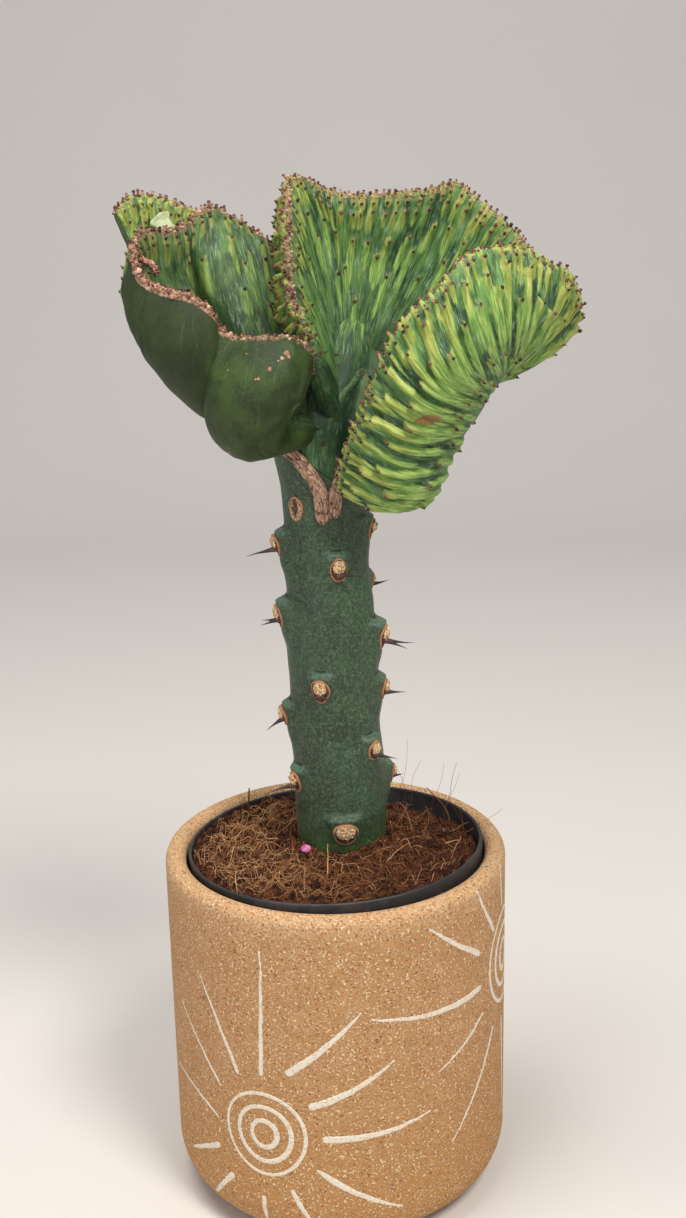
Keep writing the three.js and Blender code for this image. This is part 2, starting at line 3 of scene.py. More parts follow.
import bpy
import numpy as np
from mathutils import Matrix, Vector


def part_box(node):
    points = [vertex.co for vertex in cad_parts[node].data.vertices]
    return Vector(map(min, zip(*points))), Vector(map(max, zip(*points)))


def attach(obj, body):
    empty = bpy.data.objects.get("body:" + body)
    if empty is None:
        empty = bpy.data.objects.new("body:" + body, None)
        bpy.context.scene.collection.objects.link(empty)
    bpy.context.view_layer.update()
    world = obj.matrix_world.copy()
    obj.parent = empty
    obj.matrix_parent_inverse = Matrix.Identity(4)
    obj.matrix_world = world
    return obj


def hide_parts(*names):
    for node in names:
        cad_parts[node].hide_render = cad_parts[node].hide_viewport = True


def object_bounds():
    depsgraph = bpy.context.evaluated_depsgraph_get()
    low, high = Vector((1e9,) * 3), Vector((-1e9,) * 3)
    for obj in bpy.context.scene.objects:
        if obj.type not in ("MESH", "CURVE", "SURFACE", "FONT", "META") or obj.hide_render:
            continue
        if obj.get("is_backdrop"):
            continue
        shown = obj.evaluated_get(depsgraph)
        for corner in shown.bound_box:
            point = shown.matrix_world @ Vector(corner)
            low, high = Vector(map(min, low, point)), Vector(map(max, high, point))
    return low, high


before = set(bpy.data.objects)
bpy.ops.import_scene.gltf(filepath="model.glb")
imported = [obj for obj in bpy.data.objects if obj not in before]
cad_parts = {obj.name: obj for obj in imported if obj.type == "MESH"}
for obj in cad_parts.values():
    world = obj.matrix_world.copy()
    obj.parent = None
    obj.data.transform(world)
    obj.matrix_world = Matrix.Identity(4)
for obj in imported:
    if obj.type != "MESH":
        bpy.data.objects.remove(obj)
cad_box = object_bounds()
BODY = "root"
MM = 0.001


# The cover pot.
# A thick clay cylinder, cast with a wide round foot edge and a round lip, and left unglazed
# with a coarse sanded slip. It stands on its flat foot.

POT_RADIUS = 74.6
POT_HEIGHT = 157.5
POT_WALL = 9.0
POT_FLOOR = 10.0
FOOT_ROUNDING = 23.0
INNER_CORNER = 8.0
POT_SIDES = 256
NEAR_AXIS = 0.5
FLAT_FOOT = 30.0

CLAY = (184, 138, 93)
CLAY_PALE = (193, 148, 104)
CLAY_WARM = (186, 136, 82)
CLAY_DEEP = (170, 120, 78)
# A painted highlight on the lip's top, as if lit from above.
LIP_LIT_HIGHLIGHT = (228, 192, 148)
SAND_LIGHT = (238, 208, 166)
SAND_DARK = (140, 98, 66)


def paint_colour(red, green, blue):
    """A colour picked on a screen, as the shader's own linear values."""
    parts = [c / 255 for c in (red, green, blue)]
    return tuple(c / 12.92 if c <= 0.04045 else ((c + 0.055) / 1.055) ** 2.4
                 for c in parts) + (1.0,)


class Socket:
    """A socket of a finish. Sums and products on it add Math nodes."""

    def __init__(self, tree, socket=None):
        self.tree = tree
        self.socket = socket

    def node(self, kind, settings=None, inputs=None, output=0):
        """Adds a node: its settings first, then the values or links of its sockets."""
        made = self.tree.nodes.new("ShaderNode" + kind)
        for name, value in (settings or {}).items():
            if name == "stops":
                ramp = made.color_ramp
                while len(ramp.elements) < len(value):
                    ramp.elements.new(0.5)
                for element, (position, colour) in zip(ramp.elements, value):
                    element.position = position
                    element.color = paint_colour(*colour)
            else:
                setattr(made, name, value)
        for name, value in (inputs or {}).items():
            if isinstance(value, Socket):
                self.tree.links.new(value.socket, made.inputs[name])
            else:
                made.inputs[name].default_value = value
        return Socket(self.tree, made.outputs[output])

    def maths(self, operation, first, second=0.0):
        return self.node("Math", {"operation": operation}, {0: first, 1: second})

    def __add__(self, other):
        return self.maths("ADD", self, other)

    def __radd__(self, other):
        return self.maths("ADD", other, self)

    def __sub__(self, other):
        return self.maths("SUBTRACT", self, other)

    def __rsub__(self, other):
        return self.maths("SUBTRACT", other, self)

    def __mul__(self, other):
        return self.maths("MULTIPLY", self, other)

    def __rmul__(self, other):
        return self.maths("MULTIPLY", other, self)

    def __truediv__(self, other):
        return self.maths("DIVIDE", self, other)

    def step(self, low, high):
        """0 below low, 1 above high, and smooth between them."""
        return self.node("MapRange", {"interpolation_type": "SMOOTHSTEP"},
                         {"Value": self, "From Min": low, "From Max": high})

    def mix(self, first, second):
        """The first colour where this mask is 0, the second where it is 1."""
        first, second = (paint_colour(*colour) if isinstance(colour, tuple) else colour
                         for colour in (first, second))
        return self.node("Mix", {"data_type": "RGBA"}, {0: self, 6: first, 7: second}, 2)

    def under(self, *coats):
        """This colour with others laid over it in turn, each by its own mask."""
        colour = self
        for mask, over in coats:
            colour = mask.mix(colour, over)
        return colour

    def ramp(self, *stops):
        """Colours by this value, each at its own place from 0 to 1."""
        return self.node("ValToRGB", {"stops": stops}, {"Fac": self})

    def upward(self):
        """How high a place is, in metres."""
        return self.node("SeparateXYZ", None, {"Vector": self}, output=2)

    def value(self, name, output="Fac"):
        """What the mesh carries at each point under this name."""
        return self.node("Attribute", {"attribute_name": name}, output=output)

    def noise(self, size, detail=3.0, roughness=0.55):
        """Cloudy unevenness with lumps of this size in millimetres."""
        return self.node("TexNoise", None, {"Vector": self, "Scale": 1 / (size * MM),
                                            "Detail": detail, "Roughness": roughness})

    def cells(self, size, feature="F1"):
        """Distances in a pattern of cells about this many millimetres wide."""
        return self.node("TexVoronoi", {"feature": feature},
                         {"Vector": self, "Scale": 1 / (size * MM)})

    def stretched(self, x, y, z):
        """The place scaled along each axis, for patterns that run along one of them."""
        return self.node("Mapping", None, {"Vector": self, "Scale": (x, y, z)})

    def bump(self, height):
        """A Normal from this height, whose full range is that many millimetres."""
        return self.node("Bump", None, {"Height": self, "Distance": height * MM,
                                        "Strength": 1.0})


def new_finish(name):
    """A material with an empty tree: the material, its places in the object, its shader."""
    material = bpy.data.materials.new(name)
    material.use_nodes = True
    tree = material.node_tree
    shader = tree.nodes["Principled BSDF"]
    place = Socket(tree).node("TexCoord", output="Object")
    return material, place, shader


def coat_with(shader, colour, normal, roughness, specular=0.5):
    """Links what varies and sets what is the same all over."""
    for name, value in (("Base Color", colour), ("Normal", normal), ("Roughness", roughness)):
        if isinstance(value, Socket):
            value.tree.links.new(value.socket, shader.inputs[name])
        elif value is not None:
            shader.inputs[name].default_value = value
    shader.inputs["Specular IOR Level"].default_value = specular


def placed(name, data):
    """An object of this mesh, light or camera, in the scene."""
    made = bpy.data.objects.new(name, data)
    bpy.context.scene.collection.objects.link(made)
    return made


def make_piece(name, vertices, faces, finish, slot, replaced=(), values=None):
    """A mesh in millimetres with its finish, riding on the plant's one body."""
    vertices = np.asarray(vertices, float) * MM
    faces = [np.asarray(group, int) for group in faces if len(group)]
    mesh = bpy.data.meshes.new(name)
    mesh.vertices.add(len(vertices))
    mesh.vertices.foreach_set("co", vertices.ravel())
    corners = np.concatenate([group.ravel() for group in faces])
    sizes = np.concatenate([np.full(len(group), group.shape[1]) for group in faces])
    mesh.loops.add(len(corners))
    mesh.loops.foreach_set("vertex_index", corners)
    mesh.polygons.add(len(sizes))
    mesh.polygons.foreach_set("loop_start", np.concatenate([[0], np.cumsum(sizes)[:-1]]))
    for key, value in (values or {}).items():
        value = np.asarray(value, float)
        kind = "FLOAT" if value.ndim == 1 else "FLOAT_VECTOR"
        field = "value" if value.ndim == 1 else "vector"
        attribute = mesh.attributes.new(key, kind, "POINT")
        attribute.data.foreach_set(field, value.ravel())
    mesh.update(calc_edges=True)
    mesh.validate()
    mesh.shade_smooth()
    mesh.materials.append(finish)
    made = placed(name, mesh)
    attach(made, BODY)
    if replaced:
        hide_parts(*replaced)
    return made


def full_turn(count):
    """Equal steps of angle, once round."""
    return np.linspace(0, 2 * math.pi, count, endpoint=False)


def arc(centre_r, centre_z, radius, start, end, steps):
    """A round corner of a profile, from one angle to another in degrees."""
    angles = np.radians(np.linspace(start, end, steps + 1))
    return [(centre_r + radius * math.cos(a), centre_z + radius * math.sin(a)) for a in angles]


def loops_skin(loops, close_ends=True):
    """A skin over equal closed loops, with a middle point in each end loop."""
    count, sides = loops.shape[:2]
    vertices = loops.reshape(-1, 3)
    i, k = np.meshgrid(np.arange(count - 1), np.arange(sides), indexing="ij")
    a = i * sides + k
    b = i * sides + (k + 1) % sides
    quads = np.stack([a, b, b + sides, a + sides], -1).reshape(-1, 4)
    if not close_ends:
        return vertices, [quads]
    vertices = np.vstack([vertices, loops[0].mean(0), loops[-1].mean(0)])
    k = np.arange(sides)
    following = (k + 1) % sides
    low = np.stack([following, k, np.full(sides, len(vertices) - 2)], -1)
    top = (count - 1) * sides
    high = np.stack([top + k, top + following, np.full(sides, len(vertices) - 1)], -1)
    return vertices, [quads, low, high]


def turned(profile, sides):
    """A turned body, from a profile of radius and height that starts and ends near the axis."""
    angles = full_turn(sides)
    profile = np.array(profile)
    r, z = profile[:, :1], profile[:, 1:]
    loops = np.stack([r * np.cos(angles), r * np.sin(angles), z + 0 * angles], -1)
    return loops_skin(loops)


inner = POT_RADIUS - POT_WALL
lip = POT_WALL / 2
pot_profile = [
    (NEAR_AXIS, 0.0),
    (FLAT_FOOT, 0.0),
    *arc(POT_RADIUS - FOOT_ROUNDING, FOOT_ROUNDING, FOOT_ROUNDING, -90, 0, 24),
    *[(POT_RADIUS, z) for z in np.linspace(35, POT_HEIGHT - lip - 8, 12)],
    *arc(POT_RADIUS - lip, POT_HEIGHT - lip, lip, 0, 180, 20),
    *[(inner, z) for z in np.linspace(POT_HEIGHT - lip - 6, 30, 8)],
    *arc(inner - INNER_CORNER, POT_FLOOR + INNER_CORNER, INNER_CORNER, 0, -90, 8),
    (FLAT_FOOT, POT_FLOOR),
    (NEAR_AXIS, POT_FLOOR),
]

clay, place, shader = new_finish("sanded_clay")
grit = place.noise(1.0, 2, 0.7)
light_grains = place.noise(0.95, 1, 0.5).step(0.56, 0.64)
dark_grains = place.stretched(1.1, 0.9, 1.3).noise(1.2, 1, 0.5).step(0.35, 0.27)
pits = (1 - place.cells(9.0).step(0.06, 0.10)) * place.noise(20, 1).step(0.5, 0.55)
body_colour = place.noise(9, 4).step(0.35, 0.65).mix(CLAY, CLAY_PALE).under(
    (place.upward().step(0.10, 0.02) * 0.8, CLAY_WARM),
    # Painted highlight: the lip made paler by height, as if lit from above.
    (place.upward().step(0.143, 0.157) * 0.45, LIP_LIT_HIGHLIGHT),
    (grit.step(0.54, 0.36) * 0.9, CLAY_DEEP),
    (light_grains * 0.85, SAND_LIGHT),
    (dark_grains * 0.8, SAND_DARK),
    (pits * 0.8, SAND_DARK))
sanding = grit * 0.6 + light_grains * 0.7 - dark_grains * 0.7
coat_with(shader, body_colour, sanding.bump(0.6), 0.93, 0.25)

make_piece("sanded_cover_pot", *turned(pot_profile, POT_SIDES), clay, "clay", ["cover_pot"])


# The painted suns.
# Off-white slip, brushed on the sanded clay: suns of three rings with tapering rays, a low
# one and a high one by turns round the pot. The slip stands a hair proud of the clay.

SLIP_PROUD = 0.08
SLIP_EDGE = 0.06
SLIP_SUNK = 0.5
RING_WIDTHS = (2.2, 2.1, 1.5)
SLIP = (226, 216, 196)
# Each ray: its start and end from the sun's middle along the wall and up, how far its middle
# sags to its right, and its widths at the start, near the start and at the end.
LOW_SUN = {
    "height": 56.3,
    "rings": [(5.8, 6.3), (12.3, 12.9), (18.3, 19.3)],
    "rays": [
        ((-0.4, 27.5), (1.5, 84.7), 0.0, (1.9, 1.9, 0.5)),
        ((-11.8, 24.9), (-32.4, 63.5), 0.8, (1.8, 1.8, 0.5)),
        ((-22.0, 15.2), (-51.2, 43.1), 1.2, (1.3, 1.3, 0.5)),
        ((-24.3, -0.9), (-62.4, 6.0), 3.0, (1.1, 1.1, 0.6)),
        ((-24.5, -14.6), (-46.6, -27.5), 0.0, (2.6, 2.4, 1.0)),
        ((-17.0, -25.8), (-30.5, -41.6), 0.0, (2.6, 2.5, 1.2)),
        ((-1.3, -30.7), (-1.5, -50.0), 0.0, (1.9, 2.0, 0.9)),
        ((11.7, -24.4), (24.0, -45.0), 0.6, (2.0, 2.4, 0.8)),
        ((22.8, -13.3), (59.0, -34.6), 1.6, (1.6, 3.0, 0.7)),
        ((25.4, 1.3), (72.6, 7.4), 1.6, (3.3, 3.1, 0.6)),
        ((20.2, 16.1), (56.2, 36.0), 1.6, (3.5, 3.2, 0.6)),
        ((10.9, 30.6), (42.4, 59.8), 1.2, (3.4, 3.1, 0.6)),
    ],
}
HIGH_SUN = {
    "height": 111.3,
    "rings": [(6.2, 6.8), (13.0, 13.8), (19.6, 21.0)],
    "rays": [
        ((-27.6, -2.4), (-84.6, 1.1), -2.0, (2.9, 2.8, 0.6)),
        ((-28.5, 13.6), (-58.8, 36.4), -0.6, (2.5, 2.5, 0.7)),
        ((-15.1, 18.0), (-31.0, 43.5), -0.6, (1.9, 2.1, 0.7)),
        ((-3.2, 24.6), (-7.0, 45.0), 0.0, (1.8, 1.9, 0.6)),
        ((-25.8, -15.2), (-54.2, -30.9), -0.8, (1.3, 1.5, 0.6)),
        ((-15.5, -27.0), (-47.1, -67.7), -1.6, (1.4, 1.7, 0.5)),
        ((-2.4, -29.5), (3.8, -83.5), 0.6, (1.8, 1.8, 0.5)),
        ((14.0, -26.0), (36.0, -64.0), 1.4, (1.8, 2.0, 0.5)),
        ((25.0, -13.0), (57.0, -30.0), 1.4, (2.4, 2.4, 0.6)),
        ((27.6, 2.0), (70.0, 2.0), 2.4, (2.8, 2.6, 0.6)),
        ((25.0, 14.0), (52.0, 36.0), 1.0, (2.6, 2.5, 0.7)),
        ((12.0, 22.0), (22.0, 43.0), 0.4, (2.0, 2.2, 0.7)),
    ],
}

# Each painted sun: its kind, its place along the wall from the front, whether it is mirrored, and
# how much of its rays' length it has.
SUNS = [(LOW_SUN, -33.0, False, 1.0), (HIGH_SUN, 98.0, False, 1.0),
        (LOW_SUN, 215.0, True, 0.9), (HIGH_SUN, -158.0, True, 0.42)]
RING_POINTS = 180
RAY_STEP = 0.5
WAVER = 0.12
THINNEST = 0.3

outer_wall = np.array(pot_profile[1:40])


def on_wall(along, height, proud):
    """A point on the pot's outer wall: millimetres along it from the front, and height."""
    radius = np.interp(height, outer_wall[:, 1], outer_wall[:, 0]) + proud
    angle = along / POT_RADIUS
    return np.stack([radius * np.sin(angle), -radius * np.cos(angle), height + 0 * along], -1)


def unit(vectors):
    """The same directions, each with length 1."""
    return vectors / (np.linalg.norm(vectors, axis=-1, keepdims=True) + 1e-12)


def brushed(line, widths, closed_line=False):
    """A stroke of slip along a line on the wall, as a low closed ridge."""
    if closed_line:
        run = np.roll(line, -1, 0) - np.roll(line, 1, 0)
    else:
        run = np.gradient(line, axis=0)
    run = unit(run)
    across = np.stack([-run[:, 1], run[:, 0]], -1)
    loops = []
    for share, proud in ((0.5, -SLIP_SUNK), (0.5, SLIP_EDGE), (0.3, SLIP_PROUD),
                         (0.0, SLIP_PROUD), (-0.3, SLIP_PROUD), (-0.5, SLIP_EDGE),
                         (-0.5, -SLIP_SUNK)):
        side = line + across * (share * widths)[:, None]
        loops.append(on_wall(side[:, 0], side[:, 1], proud))
    loops = np.stack(loops, 1)
    if closed_line:
        loops = np.concatenate([loops, loops[:1]])
    return loops_skin(loops, not closed_line)


def join(parts):
    """One mesh from several vertex and face lists."""
    vertices = []
    groups = {}
    start = 0
    for part_vertices, part_faces in parts:
        vertices.append(part_vertices)
        for group in part_faces:
            group = np.asarray(group)
            groups.setdefault(group.shape[1], []).append(group + start)
        start += len(part_vertices)
    return np.vstack(vertices), [np.vstack(found) for found in groups.values()]


brush = np.random.default_rng(3)


def wavering(count, reach):
    """A hand's slow waver along a stroke."""
    loose = brush.normal(size=count // 8 + 4)
    return np.interp(np.linspace(0, len(loose) - 1, count), np.arange(len(loose)), loose) * reach


def sun_strokes(sun, middle, mirrored, reach):
    """The rings and rays of one sun around its middle on the wall."""
    flip = np.array([-1.0 if mirrored else 1.0, 1.0])
    strokes = []
    for (across, high), plain_width in zip(sun["rings"], RING_WIDTHS):
        angle = full_turn(RING_POINTS)
        wobble = 1 + 0.012 * np.sin(2 * angle + brush.uniform(0, 6)) + 0.01 * np.sin(3 * angle)
        line = np.stack([across * np.cos(angle), high * np.sin(angle)], -1) * wobble[:, None]
        width = plain_width * (1 + 0.16 * np.sin(angle + brush.uniform(0, 6)))
        width += brush.normal(size=RING_POINTS) * 0.16
        strokes.append(brushed(line * flip + middle, width, True))
    for start, end, sag, (first, near, last) in sun["rays"]:
        start = np.array(start)
        end = start + (np.array(end) - start) * reach
        length = np.linalg.norm(end - start)
        count = max(24, int(length / RAY_STEP))
        share = np.linspace(0, 1, count)
        run = (end - start) / length
        right = np.array([run[1], -run[0]])
        line = start + share[:, None] * (end - start)
        line = line + right * (sag * 4 * share * (1 - share) + wavering(count, WAVER))[:, None]
        fading = 0.55 * near + 0.45 * last
        width = np.interp(share, [0, 0.03, 0.22, 0.7, 1], [0.6 * first, first, near, fading, last])
        width = width + brush.normal(size=count) * 0.2
        strokes.append(brushed(line * flip + middle, np.maximum(width, THINNEST)))
    return strokes


strokes = []
for sun, along, mirrored, reach in SUNS:
    strokes += sun_strokes(sun, np.array([along, sun["height"]]), mirrored, reach)

slip, place, shader = new_finish("white_slip")
thin = place.noise(0.9, 2, 0.6)
slip_colour = place.noise(6, 3).mix(SLIP, (230, 220, 204))
slip_colour = (thin.step(0.53, 0.64) * 0.75).mix(slip_colour, (200, 168, 132))
coat_with(shader, slip_colour, thin.bump(0.35), 0.9, 0.25)
make_piece("sun_slip", *join(strokes), slip, "clay")


# The nursery pot.
# A thin black plastic growing pot, thermoformed with a smooth upright collar. It hangs askew in
# the cover pot, its rim a little above the lip, and has drain holes in its floor.

RIM_RADIUS = 64.6
RIM_ABOVE_LIP = 0.8
RIM_TILT = math.radians(2.2)
RIM_RAISED_SIDE = math.radians(-30)
NURSERY_FOOT = 47.0
NURSERY_WALL = 1.5
COLLAR = 14.0
DRAIN_RADIUS = 4.0
DRAIN_CIRCLE = 30.0
DRAIN_COUNT = 6
DRILLED = 3.0
GAP = 0.3

rim_centre = np.array([0, 0, POT_HEIGHT + RIM_ABOVE_LIP])
nursery_axis = np.array([-math.sin(RIM_TILT) * math.cos(RIM_RAISED_SIDE),
                         -math.sin(RIM_TILT) * math.sin(RIM_RAISED_SIDE), math.cos(RIM_TILT)])
nursery_height = ((rim_centre[2] - NURSERY_FOOT * math.sin(RIM_TILT) - POT_FLOOR - GAP)
                  / math.cos(RIM_TILT))
hinge = unit(np.cross([0, 0, 1], nursery_axis))
nursery_foot_centre = rim_centre - nursery_axis * nursery_height
collar_foot = nursery_height - COLLAR
nursery_top = RIM_RADIUS - 2


def tilted(points):
    """Points of the nursery pot's own upright frame, in their place in the cover pot."""
    points = np.asarray(points, float)
    turned_points = (points * math.cos(RIM_TILT) + np.cross(hinge, points) * math.sin(RIM_TILT)
                     + hinge * (points @ hinge)[..., None] * (1 - math.cos(RIM_TILT)))
    return turned_points + nursery_foot_centre


def nursery_inside(height):
    """The inner radius of the tapered wall below the collar."""
    share = height / nursery_height
    return NURSERY_FOOT + (nursery_top - NURSERY_FOOT) * share - NURSERY_WALL


rim_in = RIM_RADIUS - NURSERY_WALL
rim_round = NURSERY_WALL / 2
nursery_profile = [
    (NEAR_AXIS, 0),
    (NURSERY_FOOT - 2, 0),
    (NURSERY_FOOT - 0.6, 0.5),
    (NURSERY_FOOT, 2),
    (nursery_inside(collar_foot) + NURSERY_WALL, collar_foot),
    (RIM_RADIUS - 0.3, collar_foot),
    (RIM_RADIUS, collar_foot + 0.4),
    *arc(RIM_RADIUS - rim_round, nursery_height - rim_round, rim_round, 0, 180, 8),
    (rim_in, collar_foot + NURSERY_WALL + 0.5),
    (rim_in - 0.4, collar_foot + NURSERY_WALL),
    (nursery_inside(collar_foot), collar_foot + NURSERY_WALL),
    (nursery_inside(NURSERY_WALL), NURSERY_WALL),
    (NEAR_AXIS, NURSERY_WALL),
]

plastic, place, shader = new_finish("black_plastic")
dust = place.noise(9, 5, 0.6)
scuff = place.stretched(1, 1, 9).noise(7, 4, 0.7)
plastic_colour = dust.step(0.45, 0.75).mix((40, 41, 43), (66, 62, 58))
coat_with(shader, plastic_colour, scuff.bump(0.12), dust * 0.25 + 0.34, 0.45)

pot_vertices, pot_faces = turned(nursery_profile, 200)
nursery = make_piece("nursery_pot_shell", tilted(pot_vertices), pot_faces, plastic,
                     "black_plastic", ["nursery_pot"])
drains = []
for angle in full_turn(DRAIN_COUNT):
    plug, faces = turned([(NEAR_AXIS, -DRILLED), (DRAIN_RADIUS, -DRILLED), (DRAIN_RADIUS, DRILLED),
                          (NEAR_AXIS, DRILLED)], 24)
    plug = plug + [DRAIN_CIRCLE * math.cos(angle), DRAIN_CIRCLE * math.sin(angle), 0]
    drains.append((tilted(plug), faces))
drill = make_piece("drill", *join(drains), plastic, "black_plastic")
cut = nursery.modifiers.new("drains", "BOOLEAN")
cut.object = drill
cut.solver = "EXACT"
bpy.context.view_layer.objects.active = nursery
bpy.ops.object.modifier_apply(modifier=cut.name)
bpy.data.objects.remove(drill)


# The coir soil.
# Brown coconut fibre and pith, pressed into the nursery pot and heaped a little at the stem,
# lower at the back right, where the black wall shows. Loose fibres lie on it and stick out.

SOIL_BELOW_RIM = 2.0
STEM_AT_SOIL = (3.0, 19.25)
STEM_FOOT = 112.0
SOIL_AROUND = 400
SOIL_RINGS = 130
CRUMB_COUNT = 520
FIBRE_COUNT = 1500
LOOSE_COUNT = 60
HEAP_HEIGHT = 6.0
HEAP_REACH = 30.0
BACK_RIGHT_DROP = 9.0
# One fibre in so many is thick, and one is pale.
ODD_FIBRE = 9


def ripple(points, wave, seed):
    """Smooth, repeatable unevenness from about -1 to 1, with bumps of this size."""
    random = np.random.default_rng(seed)
    total = 0.0
    for _ in range(12):
        direction = random.normal(size=points.shape[-1])
        direction *= random.uniform(0.6, 1.7) / np.linalg.norm(direction)
        total = total + np.sin(points @ direction * (2 * math.pi / wave)
                               + random.uniform(0, 2 * math.pi))
    return total / 4


soil_edge = rim_in - 1.5 * GAP


def soil_height(x, y):
    """The soil's top above the nursery pot's foot, in the pot's own frame."""
    from_stem = np.hypot(x - STEM_AT_SOIL[0], y)
    heap = HEAP_HEIGHT * np.exp(-((from_stem / HEAP_REACH) ** 2))
    back_right = np.maximum(0, (x * 0.72 + y * 0.69) / RIM_RADIUS)
    clods = 1.1 * np.sin(x * 0.23 + 1.3) * np.cos(y * 0.27) + 0.7 * np.sin(x * 0.51 - y * 0.43)
    place = np.stack([x, y], -1)
    crumbs = (1.0 * ripple(place, 11, 1) + 1.0 * ripple(place, 5.2, 2)
              + 0.8 * ripple(place, 2.6, 4) + 0.5 * ripple(place, 1.5, 5))
    crumbs = crumbs * np.clip((soil_edge - np.hypot(x, y)) / 4 + 0.4, 0.4, 1)
    drop = BACK_RIGHT_DROP * back_right ** 2
    return nursery_height - SOIL_BELOW_RIM + heap + clods - drop + crumbs


round_about = np.stack([np.cos(full_turn(SOIL_AROUND)), np.sin(full_turn(SOIL_AROUND))], -1)
soil_floor = NURSERY_WALL + GAP


def soil_ring(inner_share, height):
    """A ring between the stem's hole (0) and the pot's wall (1)."""
    hole = np.array([STEM_AT_SOIL[0], 0]) + round_about * (STEM_AT_SOIL[1] + GAP)
    rim = round_about * soil_edge
    flat = hole + (rim - hole) * inner_share
    z = height if height is not None else soil_height(flat[:, 0], flat[:, 1])
    return np.column_stack([flat, np.broadcast_to(z, len(flat))])


foot_ring = np.column_stack([round_about * (nursery_inside(soil_floor) - 2 * GAP),
                             np.full(SOIL_AROUND, soil_floor)])
hole_bottom = STEM_FOOT - 4 - nursery_foot_centre[2]
shelf = collar_foot + NURSERY_WALL + GAP
neck = (nursery_inside(collar_foot) - 2 * GAP) / soil_edge
soil_loops = [foot_ring * [0.02, 0.02, 1], foot_ring]
soil_loops += [soil_ring(1, collar_foot - GAP) * [neck, neck, 1]]
soil_loops += [soil_ring(1, shelf) * [neck, neck, 1], soil_ring(1, shelf)]
soil_loops += [soil_ring(share, None) for share in np.linspace(1, 0, SOIL_RINGS)]
soil_loops += [soil_ring(0, hole_bottom)]
soil_loops += [soil_loops[-1] * [0.1, 0.1, 1] + [STEM_AT_SOIL[0] * 0.9, 0, 0]]

coir, place, shader = new_finish("coir_pith")
clump = place.noise(5, 5, 0.65)
coir_colour = clump.step(0.38, 0.66).mix((50, 28, 20), (118, 68, 42))
strands = place.stretched(1, 3.2, 1).noise(1.6, 4, 0.75)
coir_colour = (strands.step(0.54, 0.70) * 0.7).mix(coir_colour, (166, 108, 68))
# Painted shade: dark noise spots that stand for the shade in the hollows between crumbs.
painted_hollow_shade = place.noise(2.2, 3, 0.7)
coir_colour = (painted_hollow_shade.step(0.48, 0.36) * 0.9).mix(coir_colour, (30, 18, 14))
coat_with(shader, coir_colour, (clump + strands * 0.6).bump(2.2), 0.95, 0.2)
soil_vertices, soil_faces = loops_skin(np.stack(soil_loops))
make_piece("coir_bed", tilted(soil_vertices), soil_faces, coir, "coir", ["coir_soil"])


def tube(path, radii, sides=4):
    """A closed tube along a line of points."""
    path = np.asarray(path, float)
    run = unit(np.gradient(path, axis=0))
    aside = unit(np.cross(run, [0.31, 0.17, 0.93]))
    other = np.cross(run, aside)
    angle = full_turn(sides)
    ring = aside[:, None] * np.cos(angle)[:, None] + other[:, None] * np.sin(angle)[:, None]
    return loops_skin(path[:, None] + ring * np.broadcast_to(radii, len(path))[:, None, None])


def bent_path(start, direction, length, bend, random, count=9):
    """A wandering line, as a stray fibre lies."""
    steps = [np.asarray(start, float)]
    direction = unit(np.asarray(direction, float))
    drift = random.normal(size=3) * bend
    for _ in range(count - 1):
        direction = unit(direction + drift / count + random.normal(size=3) * bend * 0.22)
        steps.append(steps[-1] + direction * length / (count - 1))
    return np.array(steps)


def on_soil(x, y, above=0.0):
    """A point on the bed, or this far above it."""
    return tilted(np.array([x, y, soil_height(np.array(x), np.array(y)) + above]))


def place_on_bed(random, reach, low, high, clear):
    """A chance place on the bed, at least this far from the stem."""
    while True:
        radius = reach * math.sqrt(random.uniform(low, high))
        turn = random.uniform(0, 2 * math.pi)
        x, y = radius * math.cos(turn), radius * math.sin(turn)
        if math.hypot(x - STEM_AT_SOIL[0], y) >= STEM_AT_SOIL[1] + clear:
            return x, y


def lay(parts, tones, part, tone):
    """Adds a small part that has one tone all over."""
    parts.append(part)
    tones.append(np.full(len(part[0]), tone))


BEAD_ROUGHNESS = 0.14
bead_points = np.array([(0, 0, 1), (1, 0, 0), (0, 1, 0), (-1, 0, 0), (0, -1, 0), (0, 0, -1)])
bead_faces = np.array([(0, 1, 2), (0, 2, 3), (0, 3, 4), (0, 4, 1), (5, 2, 1), (5, 3, 2), (5, 4, 3),
                       (5, 1, 4)])


def finer(points, faces):
    """Each face of a round bead in four, with the new corners on the bead."""
    points = list(map(tuple, points))
    found = {}

    def halfway(a, b):
        key = (min(a, b), max(a, b))
        if key not in found:
            found[key] = len(points)
            points.append(tuple(unit(np.array(points[a]) + np.array(points[b]))))
        return found[key]

    new_faces = []
    for a, b, c in faces:
        ab, bc, ca = halfway(a, b), halfway(b, c), halfway(c, a)
        new_faces += [(a, ab, ca), (b, bc, ab), (c, ca, bc), (ab, bc, ca)]
    return np.array(points), np.array(new_faces)


bead_points, bead_faces = finer(bead_points, bead_faces)


def bead(at, pointing, wide, tall, random):
    """A small rounded knob on the skin, pointing outwards."""
    pointing = unit(np.asarray(pointing, float))
    across = unit(np.cross(pointing, [0.3, 0.5, 0.81]))
    other = np.cross(pointing, across)
    rough = 1 + random.normal(size=(len(bead_points), 1)) * BEAD_ROUGHNESS
    shape = bead_points * rough
    return (at + across * shape[:, :1] * wide + other * shape[:, 1:2] * wide
            + pointing * shape[:, 2:] * tall), [bead_faces]


# Crumbs of pith on the bed.
random = np.random.default_rng(33)
crumbs = []
for _ in range(CRUMB_COUNT):
    x, y = place_on_bed(random, soil_edge - 1, 0, 0.98, 1)
    size = random.uniform(0.5, 1.0) + random.exponential(0.35)
    crumbs.append(bead(on_soil(x, y, size * 0.15), random.normal(size=3) * 0.5 + [0, 0, 1], size,
                       size * random.uniform(0.5, 0.9), random))
make_piece("coir_crumbs", *join(crumbs), coir, "coir")

